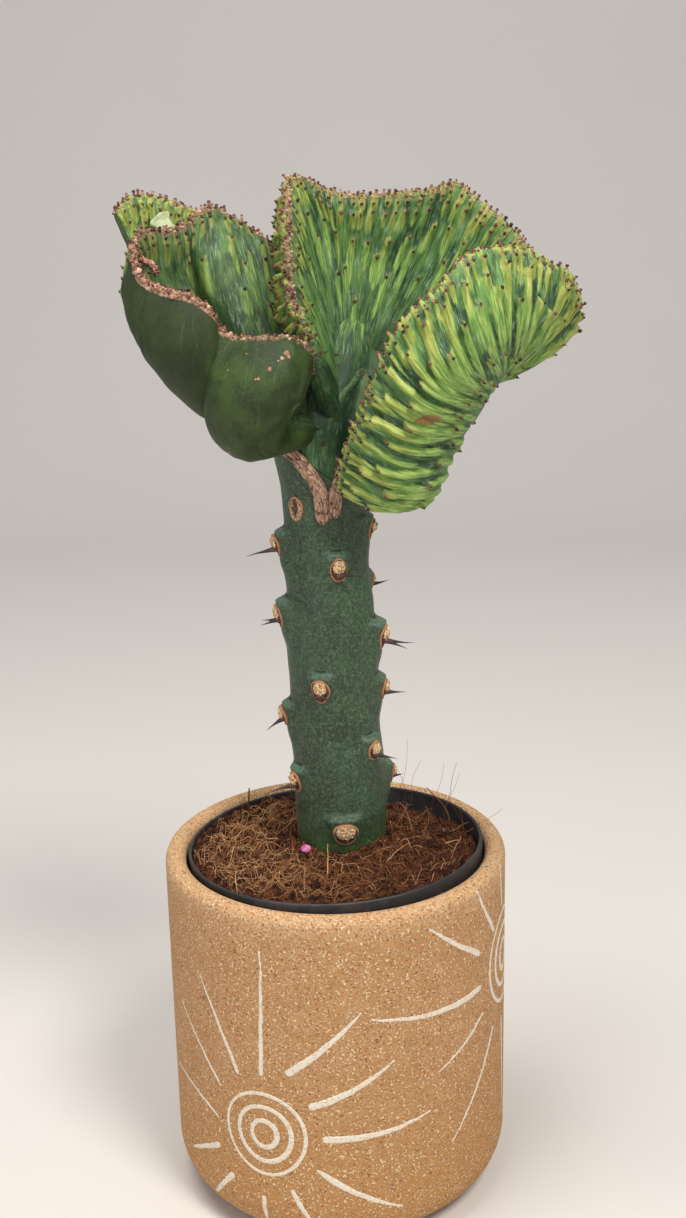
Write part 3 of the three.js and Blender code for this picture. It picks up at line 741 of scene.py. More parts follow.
# The fibres that lie on the bed, most of them bent up a little from it.
random = np.random.default_rng(21)
fibres, tones = [], []
while len(fibres) < FIBRE_COUNT:
    x, y = place_on_bed(random, soil_edge, 0, 0.98, 1)
    heading = random.uniform(0, 2 * math.pi)
    length = random.uniform(5, 26)
    lying = bent_path([x, y, 0], [math.cos(heading), math.sin(heading), 0], length, 0.24, random)
    flat = np.hypot(lying[:, 0], lying[:, 1])
    if flat.max() > soil_edge - 0.4:
        continue
    if np.hypot(lying[:, 0] - STEM_AT_SOIL[0], lying[:, 1]).min() < STEM_AT_SOIL[1] + 0.6:
        continue
    arch = random.uniform(-0.4, 1.8) * np.sin(np.linspace(0, math.pi, len(lying)))
    lift = np.linspace(0, random.uniform(-1.0, 3.2), len(lying))
    lying[:, 2] = soil_height(lying[:, 0], lying[:, 1]) + 0.1 + np.maximum(arch + lift, -0.5)
    lying[:, 2] = np.minimum(lying[:, 2], nursery_height + 7)
    thickness = random.uniform(0.07, 0.15) * (1.6 if len(fibres) % ODD_FIBRE == 0 else 1.0)
    lighter = 0.22 - x / 180 + (0.2 if (len(fibres) + 1) % ODD_FIBRE == 0 else 0)
    lay(fibres, tones, tube(tilted(lying), np.linspace(1, 0.5, len(lying)) * thickness, 3),
        np.clip(random.beta(1.0, 2.2) + lighter, 0, 1))

straw, place, shader = new_finish("coir_fibre")
tone = place.value("tone")
fibre_colour = tone.ramp((0.0, (64, 38, 26)), (0.35, (118, 72, 46)), (0.75, (184, 126, 80)),
                         (1.0, (226, 182, 130)))
coat_with(shader, fibre_colour, None, 0.8, 0.3)
make_piece("coir_fibres", *join(fibres), straw, "coir", values={"tone": np.concatenate(tones)})

# The long loose fibres, bits of husk and twigs that stand out of the soil: for each the place of
# its root, its heading, length, bend, radius and tone.
LONG_FIBRES = [
    ((33, 42), (0.1, 0.1, 1), 34, 0.4, 0.11, 0.3),
    ((29, 46), (0.25, 0.0, 1), 38, 0.4, 0.1, 0.3),
    ((37, 38), (-0.2, 0.1, 1), 30, 0.4, 0.1, 0.35),
    ((44, 36), (0.3, 0.1, 1), 26, 0.4, 0.1, 0.3),
    ((47, 30), (0.8, 0.0, 1), 28, 0.4, 0.12, 0.4),
    ((56, 8), (0.3, -0.2, 1), 22, 0.5, 0.1, 0.35),
    ((57, -2), (0.1, -0.3, 1), 18, 0.6, 0.12, 0.4),
    ((52, 25), (0.2, 0.3, 1), 22, 0.35, 0.42, 0.25),
    ((50, 29), (0.0, 0.2, 1), 30, 0.5, 0.15, 0.35),
    ((54, 12), (0.9, -0.5, 0.45), 26, 0.5, 0.16, 0.55),
    ((-20, 45), (-0.25, 0.2, 0.9), 12, 0.4, 0.4, 0.1),
    ((-40, 33), (0.1, 0.1, 1), 13, 0.3, 0.6, 0.08),
    ((-56, 5), (-0.4, 0.1, 0.8), 12, 0.4, 0.16, 0.6),
    ((-27, -46), (0.05, 0.1, 0.9), 17, 0.5, 0.2, 0.7),
    ((2, -26), (0.5, -0.8, 0.25), 16, 0.5, 0.24, 0.85),
    ((4, -27), (-0.4, -0.9, 0.2), 17, 0.5, 0.22, 0.85),
    ((-4, -38), (0.35, 0.6, 0.6), 15, 0.4, 0.28, 0.9),
    ((20, -29), (0.5, 0.6, 0.35), 19, 0.4, 0.24, 0.8),
    ((27, 8), (-0.1, 0.0, 1), 16, 0.5, 0.22, 0.7),
    ((31, 11), (-0.3, 0.1, 1), 20, 0.6, 0.22, 0.75),
    ((34, 3), (0.1, -0.1, 1), 18, 0.5, 0.22, 0.7),
    ((39, 6), (0.2, 0.0, 1), 17, 0.7, 0.2, 0.65),
    ((43, -14), (0.5, 0.2, 0.3), 13, 0.8, 0.22, 1.0),
    ((45, -12), (0.7, -0.3, 0.3), 11, 0.8, 0.22, 1.0),
    ((41, -15), (-0.5, 0.4, 0.4), 10, 0.8, 0.22, 1.0),
    ((48, -30), (0.6, 0.7, 0.4), 20, 0.9, 0.2, 0.85),
]
random = np.random.default_rng(8)
whiskers, tones = [], []
for (x, y), heading, length, bend, radius, tone_value in LONG_FIBRES:
    path = bent_path(on_soil(x, y, -0.8), heading, length, bend, random, 14)
    lay(whiskers, tones, tube(path, np.linspace(1, 0.45, len(path)) * radius, 6), tone_value)
while len(whiskers) < LOOSE_COUNT:
    x, y = place_on_bed(random, soil_edge, 0.12, 0.93, 2)
    heading = [*(random.normal(size=2) * 0.8 - np.array([x, y]) / 120), 0.55]
    path = bent_path(on_soil(x, y, -0.6), heading, random.uniform(7, 15), 0.8, random, 12)
    lay(whiskers, tones, tube(path, np.linspace(1, 0.5, len(path)) * random.uniform(0.12, 0.2), 5),
        random.uniform(0.4, 0.9))
make_piece("loose_fibres", *join(whiskers), straw, "coir",
           values={"tone": np.concatenate(tones)})


# The rootstock.
# The upright stem of a columnar euphorbia, firm and dark green under a thin blue bloom. Its
# tubercles are low shoulders with a slit above, each ending in a corky cap with spines.

GRAFT_TOP = 343.0
GRAFT_APEX = (4.5, 321.0)
GRAFT_LEFT = math.tan(math.radians(33))
GRAFT_RIGHT = math.tan(math.radians(45))
# Height, middle and radius of the stem.
COLUMN = np.array([
    [112, 4, 9], [124, 4, 15], [145, 3.4, 18], [165, 3, 19.2], [197, 2.4, 19.6],
    [216, 1.4, 19.0], [240, 0.7, 18.6], [268, 0.5, 18.0], [288, -0.8, 17.1], [304, -1.4, 16.9],
    [318, -1.4, 17.8], [332, -1.8, 20], [343, -2.2, 21.5],
])
# Compass angle (0 faces the front, 90 the right), height, the cap's width and height, how far it
# stands out, and its spines' directions with their lengths.
TUBERCLES = [
    (-41, 310, 8.6, 10.4, 0.3, []),
    (-78, 293, 8, 10, 4.4, [(-1, -0.25, -0.22, 12)]),
    (80, 299, 8, 9.5, 3.6, []),
    (16, 285, 8.8, 10.6, 1.9, [(1, -0.62, -0.03, 11)]),
    (112, 274, 8, 9, 1.6, [(1, 0.1, 0, 7)]),
    (-76, 263, 9, 11, 5.2, [(-1, -0.4, -0.25, 7), (-0.9, 0.2, 0.03, 6)]),
    (75, 253, 9, 11.5, 5.2, [(1, -0.25, 0.06, 12), (0.9, -0.5, -0.32, 10)]),
    (-15.6, 233.6, 8.8, 11.0, 2.0, [(-1, -0.45, -0.35, 6), (0.95, -0.5, -0.42, 6)]),
    (82, 229, 8, 9.5, 3.8, [(1, -0.1, -0.1, 8)]),
    (-80, 218, 8, 9.5, 4.0, [(-1, -0.3, -0.55, 8)]),
    (49, 205, 7.6, 9.4, 2.4, [(1, -0.55, -0.12, 9.5)]),
    (-60, 190.5, 8, 10, 3.0, [(-1, -0.35, -0.06, 12.5), (-0.9, -0.7, 0.15, 3)]),
    (98, 188, 8, 9, 4.0, [(0.9, 0.2, -0.15, 4)]),
    (5, 170, 11.4, 11.0, 3.0, [(0.3, -0.6, -0.6, 3)]),
    (150, 292, 8, 9, 2.8, [(0.5, 1, 0, 7)]),
    (-150, 276, 8, 9, 2.8, [(-0.5, 1, 0, 7)]),
    (160, 240, 9, 10, 3.0, [(0.4, 1, -0.2, 8)]),
    (-155, 220, 8, 9, 2.8, [(-0.5, 1, -0.2, 7)]),
    (170, 196, 9, 10, 3.0, [(0.2, 1, -0.2, 7)]),
]
BASE_CAP = 175
CAP_RINGS = 22
CAP_AROUND = 44
THORN_POINTS = 14
THORN_SIDES = 10
STEM_AROUND = 232
STEM_UP = 400
STEM_ARC = 19.0


def smooth_height(z, table, column):
    """A smooth curve through a column of a table, whose first column is the height."""
    heights, values = table[:, 0], table[:, column]
    slopes = np.gradient(values, heights)
    high = np.clip(np.searchsorted(heights, z, side="right"), 1, len(heights) - 1)
    low = high - 1
    span = heights[high] - heights[low]
    t = np.clip((z - heights[low]) / span, 0, 1)
    return ((2 * t ** 3 - 3 * t ** 2 + 1) * values[low] + (t ** 3 - 2 * t ** 2 + t) * span
            * slopes[low] + (-2 * t ** 3 + 3 * t ** 2) * values[high]
            + (t ** 3 - t ** 2) * span * slopes[high])


def stem_point(at, z, out=0.0):
    """A point at a compass angle and height, measured out from the plain column."""
    at, z = np.asarray(at, float), np.asarray(z, float)
    angle = np.radians(at)
    reach = smooth_height(z, COLUMN, 2) + out
    x = smooth_height(z, COLUMN, 1)
    return np.stack([x + reach * np.sin(angle), -reach * np.cos(angle), z + 0 * angle], -1)


def face_out(proud, up, tall):
    """How far a tubercle's outer face stands out: it leans back towards its foot."""
    return proud - 0.2 * (tall / 2 - up)


def shoulders(around, z):
    """The tubercles' rise, the bloom and painted highlight over them, and the slits above them."""
    rise = np.zeros(np.broadcast(around, z).shape)
    bloom, slit = rise.copy(), rise.copy()
    for at, height, width, tall, proud, _ in TUBERCLES:
        if proud < 1:
            continue
        aside = np.radians((around - at + 180) % 360 - 180) * STEM_ARC / (width / 2)
        up = z - height
        foot = np.maximum(0.0, face_out(proud, -tall / 2, tall))
        below = np.maximum(0, -tall / 2 - up)
        above = np.maximum(0, up - tall / 2 - 0.3)
        body = np.where(below > 0, foot * np.exp(-(below / 7.5) ** 2),
                        np.maximum(foot, face_out(proud, up, tall)))
        body = np.where(above > 0, proud * np.exp(-(above / 1.7) ** 2), body)
        rise = np.maximum(rise, body / (1 + (np.abs(aside) / 1.28) ** 5))
        # The slit above each tubercle: a real groove, and its shade painted nearly black.
        groove = np.exp(-((up - tall / 2 - 2.6) / 0.5) ** 2 - (aside / 0.75) ** 4)
        groove = groove * (height > BASE_CAP)
        slit = np.maximum(slit, groove)
        # The shelf above each tubercle: a waxy bloom and a painted highlight, as if lit from
        # above.
        near = np.exp(-((up - tall / 2 - 1.0) / 3.4) ** 2 - (aside / 1.8) ** 2)
        near = near * min(1.0, max(0.1, (height - 172) / 15))
        bloom = np.maximum(bloom, near)
    return rise - 0.8 * slit, bloom, slit


def graft_height(x):
    """The height of the graft's V cut over a point across."""
    slope = np.where(x < GRAFT_APEX[0], GRAFT_LEFT, GRAFT_RIGHT)
    return GRAFT_APEX[1] + np.abs(x - GRAFT_APEX[0]) * slope


def seam_height(surface, angles, above=0.0, ceiling=GRAFT_TOP):
    """The height at each angle where a surface comes to the graft's cut, found step by step."""
    z = np.full(len(angles), 335.0)
    for _ in range(60):
        z = np.minimum(ceiling, 0.5 * z + 0.5 * (graft_height(surface(angles, z)[:, 0]) + above))
    return z


around = np.linspace(-180, 180, STEM_AROUND, endpoint=False)
top = seam_height(stem_point, around)
share = np.linspace(0, 1, STEM_UP)[:, None]
z = COLUMN[0, 0] + share * (top - COLUMN[0, 0])
grid_at = np.broadcast_to(around, z.shape)
rise, bloom_and_highlight_near, slit_and_shade_near = shoulders(grid_at, z)
plain = stem_point(grid_at, z)
rise = rise + 0.3 * ripple(plain, 34, 31) + 0.1 * ripple(plain, 9, 32)
rise = rise * np.clip((top - z) / 3, 0, 1) * np.clip((z - 118) / 4, 0, 1)
stem_vertices, stem_faces = loops_skin(stem_point(grid_at, z, rise))

stem_skin, place, shader = new_finish("stem_skin")
painted_slit_shade = place.value("slit")
wax = place.stretched(1, 1, 0.45).noise(12, 6, 0.62)
dapple = place.noise(1.6, 4, 0.75)
shelf_bloom_and_highlight = (place.value("bloom") + (dapple - 0.5) * 0.9).step(0.35, 1.0)
skin_grain = place.noise(1.3, 4, 0.8)
pores = 1 - place.cells(0.85).step(0.15, 0.32)
pore_mask = pores * place.noise(2.4, 3, 0.6).step(0.4, 0.62)
flecks = (1 - place.cells(11.0).step(0.035, 0.05)) * place.noise(25, 1).step(0.5, 0.56)
scratch = place.stretched(6, 6, 1).noise(16, 5, 0.7).step(0.68, 0.74)
stem_colour = place.noise(16, 5, 0.6).step(0.34, 0.66).mix((44, 60, 40), (54, 78, 52)).under(
    (wax.step(0.46, 0.78) * 0.5, (66, 92, 74)),
    # A waxy bloom and a painted highlight on the shelf above each tubercle, as if lit from above.
    (shelf_bloom_and_highlight * 0.6, (100, 128, 110)),
    (skin_grain.step(0.51, 0.64) * 0.6, (100, 118, 90)),
    (skin_grain.step(0.48, 0.36) * 0.75, (26, 38, 26)),
    (pore_mask * 0.55, (126, 144, 118)),
    (flecks * 0.8, (206, 196, 160)),
    (scratch * 0.3, (140, 160, 120)),
    (place.upward().step(0.176, 0.158) * 0.5, (58, 92, 34)),
    # Painted shade in the slit above each tubercle, nearly black.
    (painted_slit_shade.step(0.3, 0.8) * 0.85, (16, 26, 22)))
stem_relief = place.noise(0.8, 2, 0.6) * 0.5 + place.cells(0.85) * 0.5
coat_with(shader, stem_colour, stem_relief.bump(0.15), wax * 0.25 + 0.36, 0.4)
make_piece("rootstock_stem", stem_vertices, stem_faces, stem_skin, "stem_skin", ["rootstock"],
           {"bloom": np.append(bloom_and_highlight_near.ravel(), [0, 0]),
            "slit": np.append(slit_and_shade_near.ravel(), [0, 0])})

# The corky caps: a torn pale boss on a dark horny shield, in a raised orange-brown rim.
caps, cap_tops, cap_rims = [], [], []
for number, (at, height, width, tall, proud, spines) in enumerate(TUBERCLES):
    share = np.linspace(1, 0.02, CAP_RINGS)[:, None]
    angle = full_turn(CAP_AROUND)
    rough = 1 + 0.035 * np.sin(3 * angle + number) + 0.025 * np.sin(5 * angle + 2 * number)
    across = share * np.cos(angle) * width / 2 * rough
    up = share * np.sin(angle) * tall / 2 * rough
    grip = np.stack([across, up, np.full_like(up, number * 9.0)], -1)
    worn = ripple(grip, 2.0, 40 + number)
    broad = 1.35 if height < BASE_CAP else 1.0
    boss = np.exp(-((across / (0.33 * broad * width)) ** 2
                    + ((up - 0.13 * tall) / (0.29 * broad * tall)) ** 2) ** 2)
    lip_edge = np.exp(-((share - 0.9) / 0.07) ** 2)
    if proud > 1:
        crown = 0.9 * (1 - share ** 2) + 0.45 * lip_edge + boss * (1.5 + 0.35 * worn)
        crown = crown + 0.12 * worn * (share < 0.97)
        level = boss * (0.7 if height < BASE_CAP else 1)
    else:
        crown = 0.25 * (1 - share ** 2) + 0.3 * lip_edge + 0.1 * worn
        crown = crown - 0.5 * np.exp(-(across / 0.8) ** 2 - ((up - 0.6) / 1.9) ** 2)
        level = 0.42 - 0.7 * np.exp(-(across / 0.9) ** 2 - ((up - 0.6) / 2.2) ** 2)
    seat = np.maximum(face_out(proud, up, tall), 0.0) if proud > 1 else 0.15
    degrees = at + np.degrees(across / (STEM_ARC + proud))
    face = stem_point(degrees, height + up, seat + crown)
    sunk = stem_point(degrees[:1], height + up[:1], seat[:1] - 1.8 if proud > 1 else -1.2)
    caps.append(loops_skin(np.concatenate([sunk, face])))
    edge = np.vstack([share[:1], share]) * np.ones(CAP_AROUND)
    cap_rims.append(np.append(edge.ravel(), [1, 0]))
    cap_tops.append(np.append(np.vstack([level[:1], level]).ravel(), [0, level[-1, 0]]))

cap_cork, place, shader = new_finish("cap_cork")
level = place.value("level")
edge = place.value("edge")
torn = place.noise(1.0, 4, 0.75)
pale = torn.step(0.36, 0.62).mix((172, 122, 78), (246, 220, 172))
dark = torn.step(0.35, 0.7).mix((62, 40, 36), (132, 90, 72))
cap_colour = (level + (torn - 0.5) * 0.5).step(0.34, 0.52).mix(dark, pale)
rim_mask = (edge + (torn - 0.5) * 0.12).step(0.82, 0.88)
cap_colour = rim_mask.mix(cap_colour, (186, 134, 98))
cap_colour = (edge.step(0.965, 0.99) * 0.7).mix(cap_colour, (96, 72, 52))
coat_with(shader, cap_colour, torn.bump(0.8), 0.85, 0.3)
make_piece("corky_caps", *join(caps), cap_cork, "cork",
           values={"level": np.concatenate(cap_tops), "edge": np.concatenate(cap_rims)})

# The spines: hard dark thorns, thick at the root and bent a little, at most two on a cap.
thorns, roots = [], []
random = np.random.default_rng(15)
for at, height, width, tall, proud, spines in TUBERCLES:
    for x, y, z, length in spines:
        heading = unit(np.array([x, y, z]))
        up = -0.16 * tall
        start = stem_point(at, height + up, face_out(proud, up, tall) + 1.3) - heading
        path = bent_path(start, heading, length + 1.5, 0.14, random, THORN_POINTS)
        share = np.linspace(0, 1, THORN_POINTS)
        radii = 1.5 * (1 - share) ** 0.85 * np.exp(-share * 1.3) + 0.05
        thorns.append(tube(path, radii, THORN_SIDES))
        roots.append(np.append(np.repeat(share, THORN_SIDES), [0, 1]))
thorn, place, shader = new_finish("thorn")
root = place.value("root")
thorn_colour = (root + place.noise(1.5) * 0.3).step(0.15, 0.5).mix((104, 70, 60), (50, 36, 38))
coat_with(shader, thorn_colour, place.noise(0.6).bump(0.1), 0.5)
make_piece("stem_spines", *join(thorns), thorn, "cork", values={"root": np.concatenate(roots)})


# The crest.
# The scion: one thick sheet of green tissue whose growing edge has run out into a long
# ruffled line. Its faces carry ribs of tubercles, and its edge a pink crust of young ones.

# Each station goes down from the growing margin: the margin, the face below it and the waist.
CENTRE_FAN = [
    [(4, -12, 340), (6, -6, 334), (7, 0, 328)],
    [(-1, -24.5, 362), (2, -15.5, 354), (5, -7, 344)],
    [(-6, -30, 382), (-2, -19, 370), (4, -8, 353)],
    [(-11, -29, 394), (-4, -17, 379), (3.5, -7, 358)],
    [(-12, -25, 407), (-5, -11, 387), (3.5, -4, 360)],
    [(-12, -17, 420), (-5, -5, 396), (4, -1, 362)],
    [(-12, -9, 429), (-5, 0, 404), (5, 1, 363)],
    [(-11, -2, 437), (-4, 4, 411), (5, 2, 364)],
    [(-5, 5, 437), (1, 8, 413), (6, 3, 364)],
    [(8, 8, 431), (8, 11, 409), (8, 4, 364)],
    [(28, 10, 430.5), (22, 14, 406), (12, 5, 364)],
    [(44, 13, 431.5), (34, 17, 405), (15, 6, 363)],
    [(54, 16, 434), (42, 19, 402), (17, 7, 362)],
    [(64, 14, 426.5), (49, 18, 397), (20, 8, 360)],
    [(74, 11, 418), (55, 16, 391), (22, 9, 358)],
    [(81, 10, 410), (61, 15, 385), (25, 10, 354)],
    [(88, 11, 399), (68, 15, 377), (28, 11, 349)],
    [(97, 8, 391), (82, 12, 374), (48, 14, 352)],
    [(101, -3, 387), (90, 2, 373), (66, 9, 359)],
    [(96, -14, 398), (88, -11, 382), (69, 1, 361)],
    [(87, -22, 404), (82, -23, 387), (68, -6, 363)],
    [(76, -28, 409), (74, -33, 386), (66, -12, 362)],
    [(63, -34, 410), (66, -39, 384), (65, -16, 360)],
    [(53, -38, 407), (60, -43, 381), (64, -19, 359)],
    [(48, -42, 402), (55, -46, 377), (63, -21, 358)],
    [(42, -45, 395), (50, -48, 373), (62, -21, 357)],
    [(34, -47, 389), (44, -49, 368), (61, -21, 355)],
    [(27.5, -47, 381), (40, -49, 364), (59, -21, 352)],
    [(23.5, -46, 373), (37, -48, 359), (57, -20, 348)],
    [(20, -43, 363), (33.5, -46, 352), (54, -19, 344)],
    [(16, -39, 353), (30, -43, 344), (51, -18, 338)],
    [(12, -35, 344), (27, -39, 334), (47, -16, 330)],
    [(8.5, -31, 333), (24, -34, 325), (44, -14, 322)],
    [(6.5, -28, 324), (20, -30, 317), (37, -13, 314)],
    [(6, -26, 319), (17, -27, 313), (32, -12, 310)],
]
LEFT_LOBE = [
    [(-14, -2, 405), (-12, -7, 389), (-7, -10, 365)],
    [(-21, 2, 414), (-17, -10, 392), (-11, -14, 366)],
    [(-28, 4, 419), (-22, -10, 394), (-15, -16, 367)],
    [(-36, 4, 424), (-27, -13, 392), (-20, -19, 366)],
    [(-42, 3, 427), (-34, -17, 393), (-26, -21, 368)],
    [(-47, 0, 425), (-42, -14, 397), (-31, -18, 370)],
    [(-52, -4, 421), (-49, -5, 400), (-33, -12, 371)],
    [(-59, -10, 419), (-58, -9, 400), (-34, -12, 369)],
    [(-68, -16, 419), (-67, -15, 397), (-37, -14, 366)],
    [(-70.5, -24, 414), (-72, -24, 394), (-41, -16, 363)],
    [(-67, -36, 404), (-69, -36, 387), (-46, -21, 359)],
    [(-58, -45, 399), (-62, -46, 380), (-47, -28, 356)],
    [(-48, -50, 397), (-51, -51, 376), (-44, -33, 354)],
    [(-41, -50, 392), (-43, -50, 373), (-40, -33, 353)],
    [(-38, -47.5, 385.5), (-40, -49, 370), (-37, -35, 351)],
    [(-32, -50, 382), (-39, -53, 362), (-39, -38.5, 346)],
    [(-22, -55, 382), (-29, -61, 357), (-31, -44, 340)],
    [(-11.5, -54, 381.5), (-16.5, -60, 364), (-21, -38, 342)],
    [(-5, -48, 376), (-10, -51, 363), (-15, -25, 350)],
    [(-4, -40, 367), (-8, -31, 361), (-6, -12, 355)],
]
FAR_FLAP = [
    [(-48, 4, 425), (-50, 2, 408), (-43, -4, 381)],
    [(-56, 8, 428), (-56, 6, 410), (-47, -2, 381)],
    [(-64, 11, 431), (-63, 9, 412), (-51, 0, 380)],
    [(-70, 11, 432), (-68, 10, 413), (-55, 0, 379)],
    [(-76, 9, 431), (-72, 8, 412), (-58, -1, 378)],
    [(-81, 5, 426), (-74, 5, 409), (-60, -2, 377)],
]
TRUNK_MIDDLE = np.array([4.0, -2.0, 338.0])
FOOT_SHARE = 0.5
MARGIN_HALF = 1.9
TOOTH = 1.6
END_ROUNDING = 9.0
RIB_PITCH = 4.4
FINE_POINTS = 4000
LINE_POINTS = 90
TIP_REACH = 24
SKIN_DEPTHS = np.concatenate([np.arange(0, 6, 0.75), np.arange(6, 44, 1.1), [47, 51, 56, 62]])
EDGE_ANGLES = np.radians([-66, -40, -14, 14, 40, 66])


def smooth_line(points, places):
    """Points at places from 0 to 1 of a curve that passes smoothly through all of points."""
    points = np.asarray(points, float)
    count = points.shape[-2]
    before = 2 * points[..., :1, :] - points[..., 1:2, :]
    after = 2 * points[..., -1:, :] - points[..., -2:-1, :]
    ends = np.concatenate([before, points, after], -2)
    at = np.clip(np.asarray(places) * (count - 1), 0, count - 1 - 1e-9)
    first = at.astype(int)
    t = (at - first)[:, None]
    p0, p1, p2, p3 = (ends[..., first + k, :] for k in range(4))
    g0, g1, g2 = (np.linalg.norm(b - a, axis=-1, keepdims=True) ** 0.5 + 1e-9
                  for a, b in ((p0, p1), (p1, p2), (p2, p3)))
    leave = ((p1 - p0) / g0 - (p2 - p0) / (g0 + g1) + (p2 - p1) / g1) * g1
    arrive = ((p2 - p1) / g1 - (p3 - p1) / (g1 + g2) + (p3 - p2) / g2) * g1
    return (p1 + leave * t + (3 * (p2 - p1) - 2 * leave - arrive) * t ** 2
            + (2 * (p1 - p2) + leave + arrive) * t ** 3)


def run_lengths(points):
    """How far along each line its points lie."""
    steps = np.linalg.norm(np.diff(points, axis=-2), axis=-1)
    return np.concatenate([np.zeros(steps.shape[:-1] + (1,)), np.cumsum(steps, -1)], -1)


def sheet_middle(stations, pitch, last_foot):
    """The sheet's middle surface: a section every pitch along its margin, down to its foot."""
    stations = np.asarray(stations, float)
    foot_share = np.full(len(stations), FOOT_SHARE)
    foot_share[-3:] = np.linspace(FOOT_SHARE, last_foot, 3)
    foot = stations[:, 2:] + (TRUNK_MIDDLE - stations[:, 2:]) * foot_share[:, None, None]
    rows = np.concatenate([stations, foot], 1).transpose(1, 0, 2)
    fine = np.linspace(0, 1, FINE_POINTS)
    travelled = run_lengths(smooth_line(rows[0], fine))
    count = int(travelled[-1] / pitch) + 1
    places = np.interp(np.linspace(0, travelled[-1], count), travelled, fine)
    lines = smooth_line(smooth_line(rows, places).transpose(1, 0, 2),
                        np.linspace(0, 1, LINE_POINTS))
    lengths = run_lengths(lines)
    middle = np.empty((count, len(SKIN_DEPTHS) + 1, 3))
    for i in range(count):
        scale = min(1.0, lengths[i, -1] / (SKIN_DEPTHS[-1] + 3))
        depths = np.append(SKIN_DEPTHS * scale, lengths[i, -1])
        for axis in range(3):
            middle[i, :, axis] = np.interp(depths, lengths[i], lines[i, :, axis])
    return middle, np.linspace(0, travelled[-1], count)


def grow(face, depths, coats, random):
    """Tubercles over one face: relief, ridges, blush at the tips, shade over them, and the tips.

    Each coat is a strength for each section along the face, the spacing of its ribs along the
    margin, and rows of tubercles on the ribs: their depth and scatter, how many ribs apart they
    are and from which rib, and their length, half width and height."""
    count, deep = face.shape[:2]
    along = run_lengths(face.transpose(1, 0, 2)).T
    relief, ridge, blush, shade = np.zeros((4, count, deep))
    tips = []
    for strength, spacing, rows in coats:
        ribs = np.arange(0.5 * spacing, along[-1, 0] - 0.4, spacing)
        ribs = ribs + random.normal(size=len(ribs)) * 0.13 * spacing
        for depth, scatter, every, first, length, half, height in rows:
            row = int(np.argmin(np.abs(depths - depth)))
            for at in ribs[first::every]:
                i = int(np.clip(np.searchsorted(along[:, 0], at), 2, count - 3))
                tall = height * strength[i] * random.uniform(0.8, 1.2)
                tip = max(0.8, depth + random.uniform(-scatter, scatter))
                reach = length * random.uniform(0.8, 1.25)
                crowding = ((along[i + 2, row] - along[i - 2, row])
                            / (along[i + 2, 0] - along[i - 2, 0] + 1e-6))
                wide = half * np.clip(crowding, 0.5, 1.5) ** 0.6 * random.uniform(0.85, 1.15)
                slant = random.normal() * 0.05
                j0, j1 = np.searchsorted(depths, [tip - 5, tip + reach])
                if j1 - j0 < 2 or strength[i] < 0.25 or random.uniform() < 0.07:
                    continue
                i0, i1 = max(0, i - TIP_REACH), min(count, i + TIP_REACH + 1)
                down = depths[j0:j1] - tip
                bend = slant * down + 0.4 * np.sin(down * 0.16 + tip)
                aside = along[i0:i1, j0:j1] - along[i, j0:j1] - bend
                share = np.clip(down / reach, 0, 1)
                head = np.exp(-(np.minimum(down, 0) / 0.8) ** 2)
                tail = 1 - share ** 1.5
                knob = 1 + 0.45 * np.exp(-((down - 1.2) / 2.0) ** 2)
                width = wide * (0.8 + 0.35 * np.sin(np.clip(share * 1.15, 0, 1) * math.pi))
                across = np.clip(1 - np.abs(aside / (1.12 * width)) ** 2.3, 0, 1)
                window = (slice(i0, i1), slice(j0, j1))
                tone = random.uniform(0.6, 1.0) * (1 - share ** 2.2) * head
                near = np.exp(-aside ** 2 - down ** 2)
                over = np.exp(-(aside / (1.3 * wide)) ** 2 - ((down + 2.8) / 2.0) ** 2)
                for field, added in ((relief, tall * knob * head * tail * across),
                                     (ridge, tone * across ** 0.5), (blush, near), (shade, over)):
                    field[window] = np.maximum(field[window], added)
                j = min(int(np.searchsorted(depths, tip)), deep - 1)
                tips.append((i, j, tall))
    return relief, ridge, blush, shade, tips


def steady(value):
    """The same value all along a margin."""
    return lambda share: np.full_like(share, value)


def varying(places, values):
    """Values that change along a margin, given at some shares of its length."""
    return lambda share: np.interp(share, places, values)


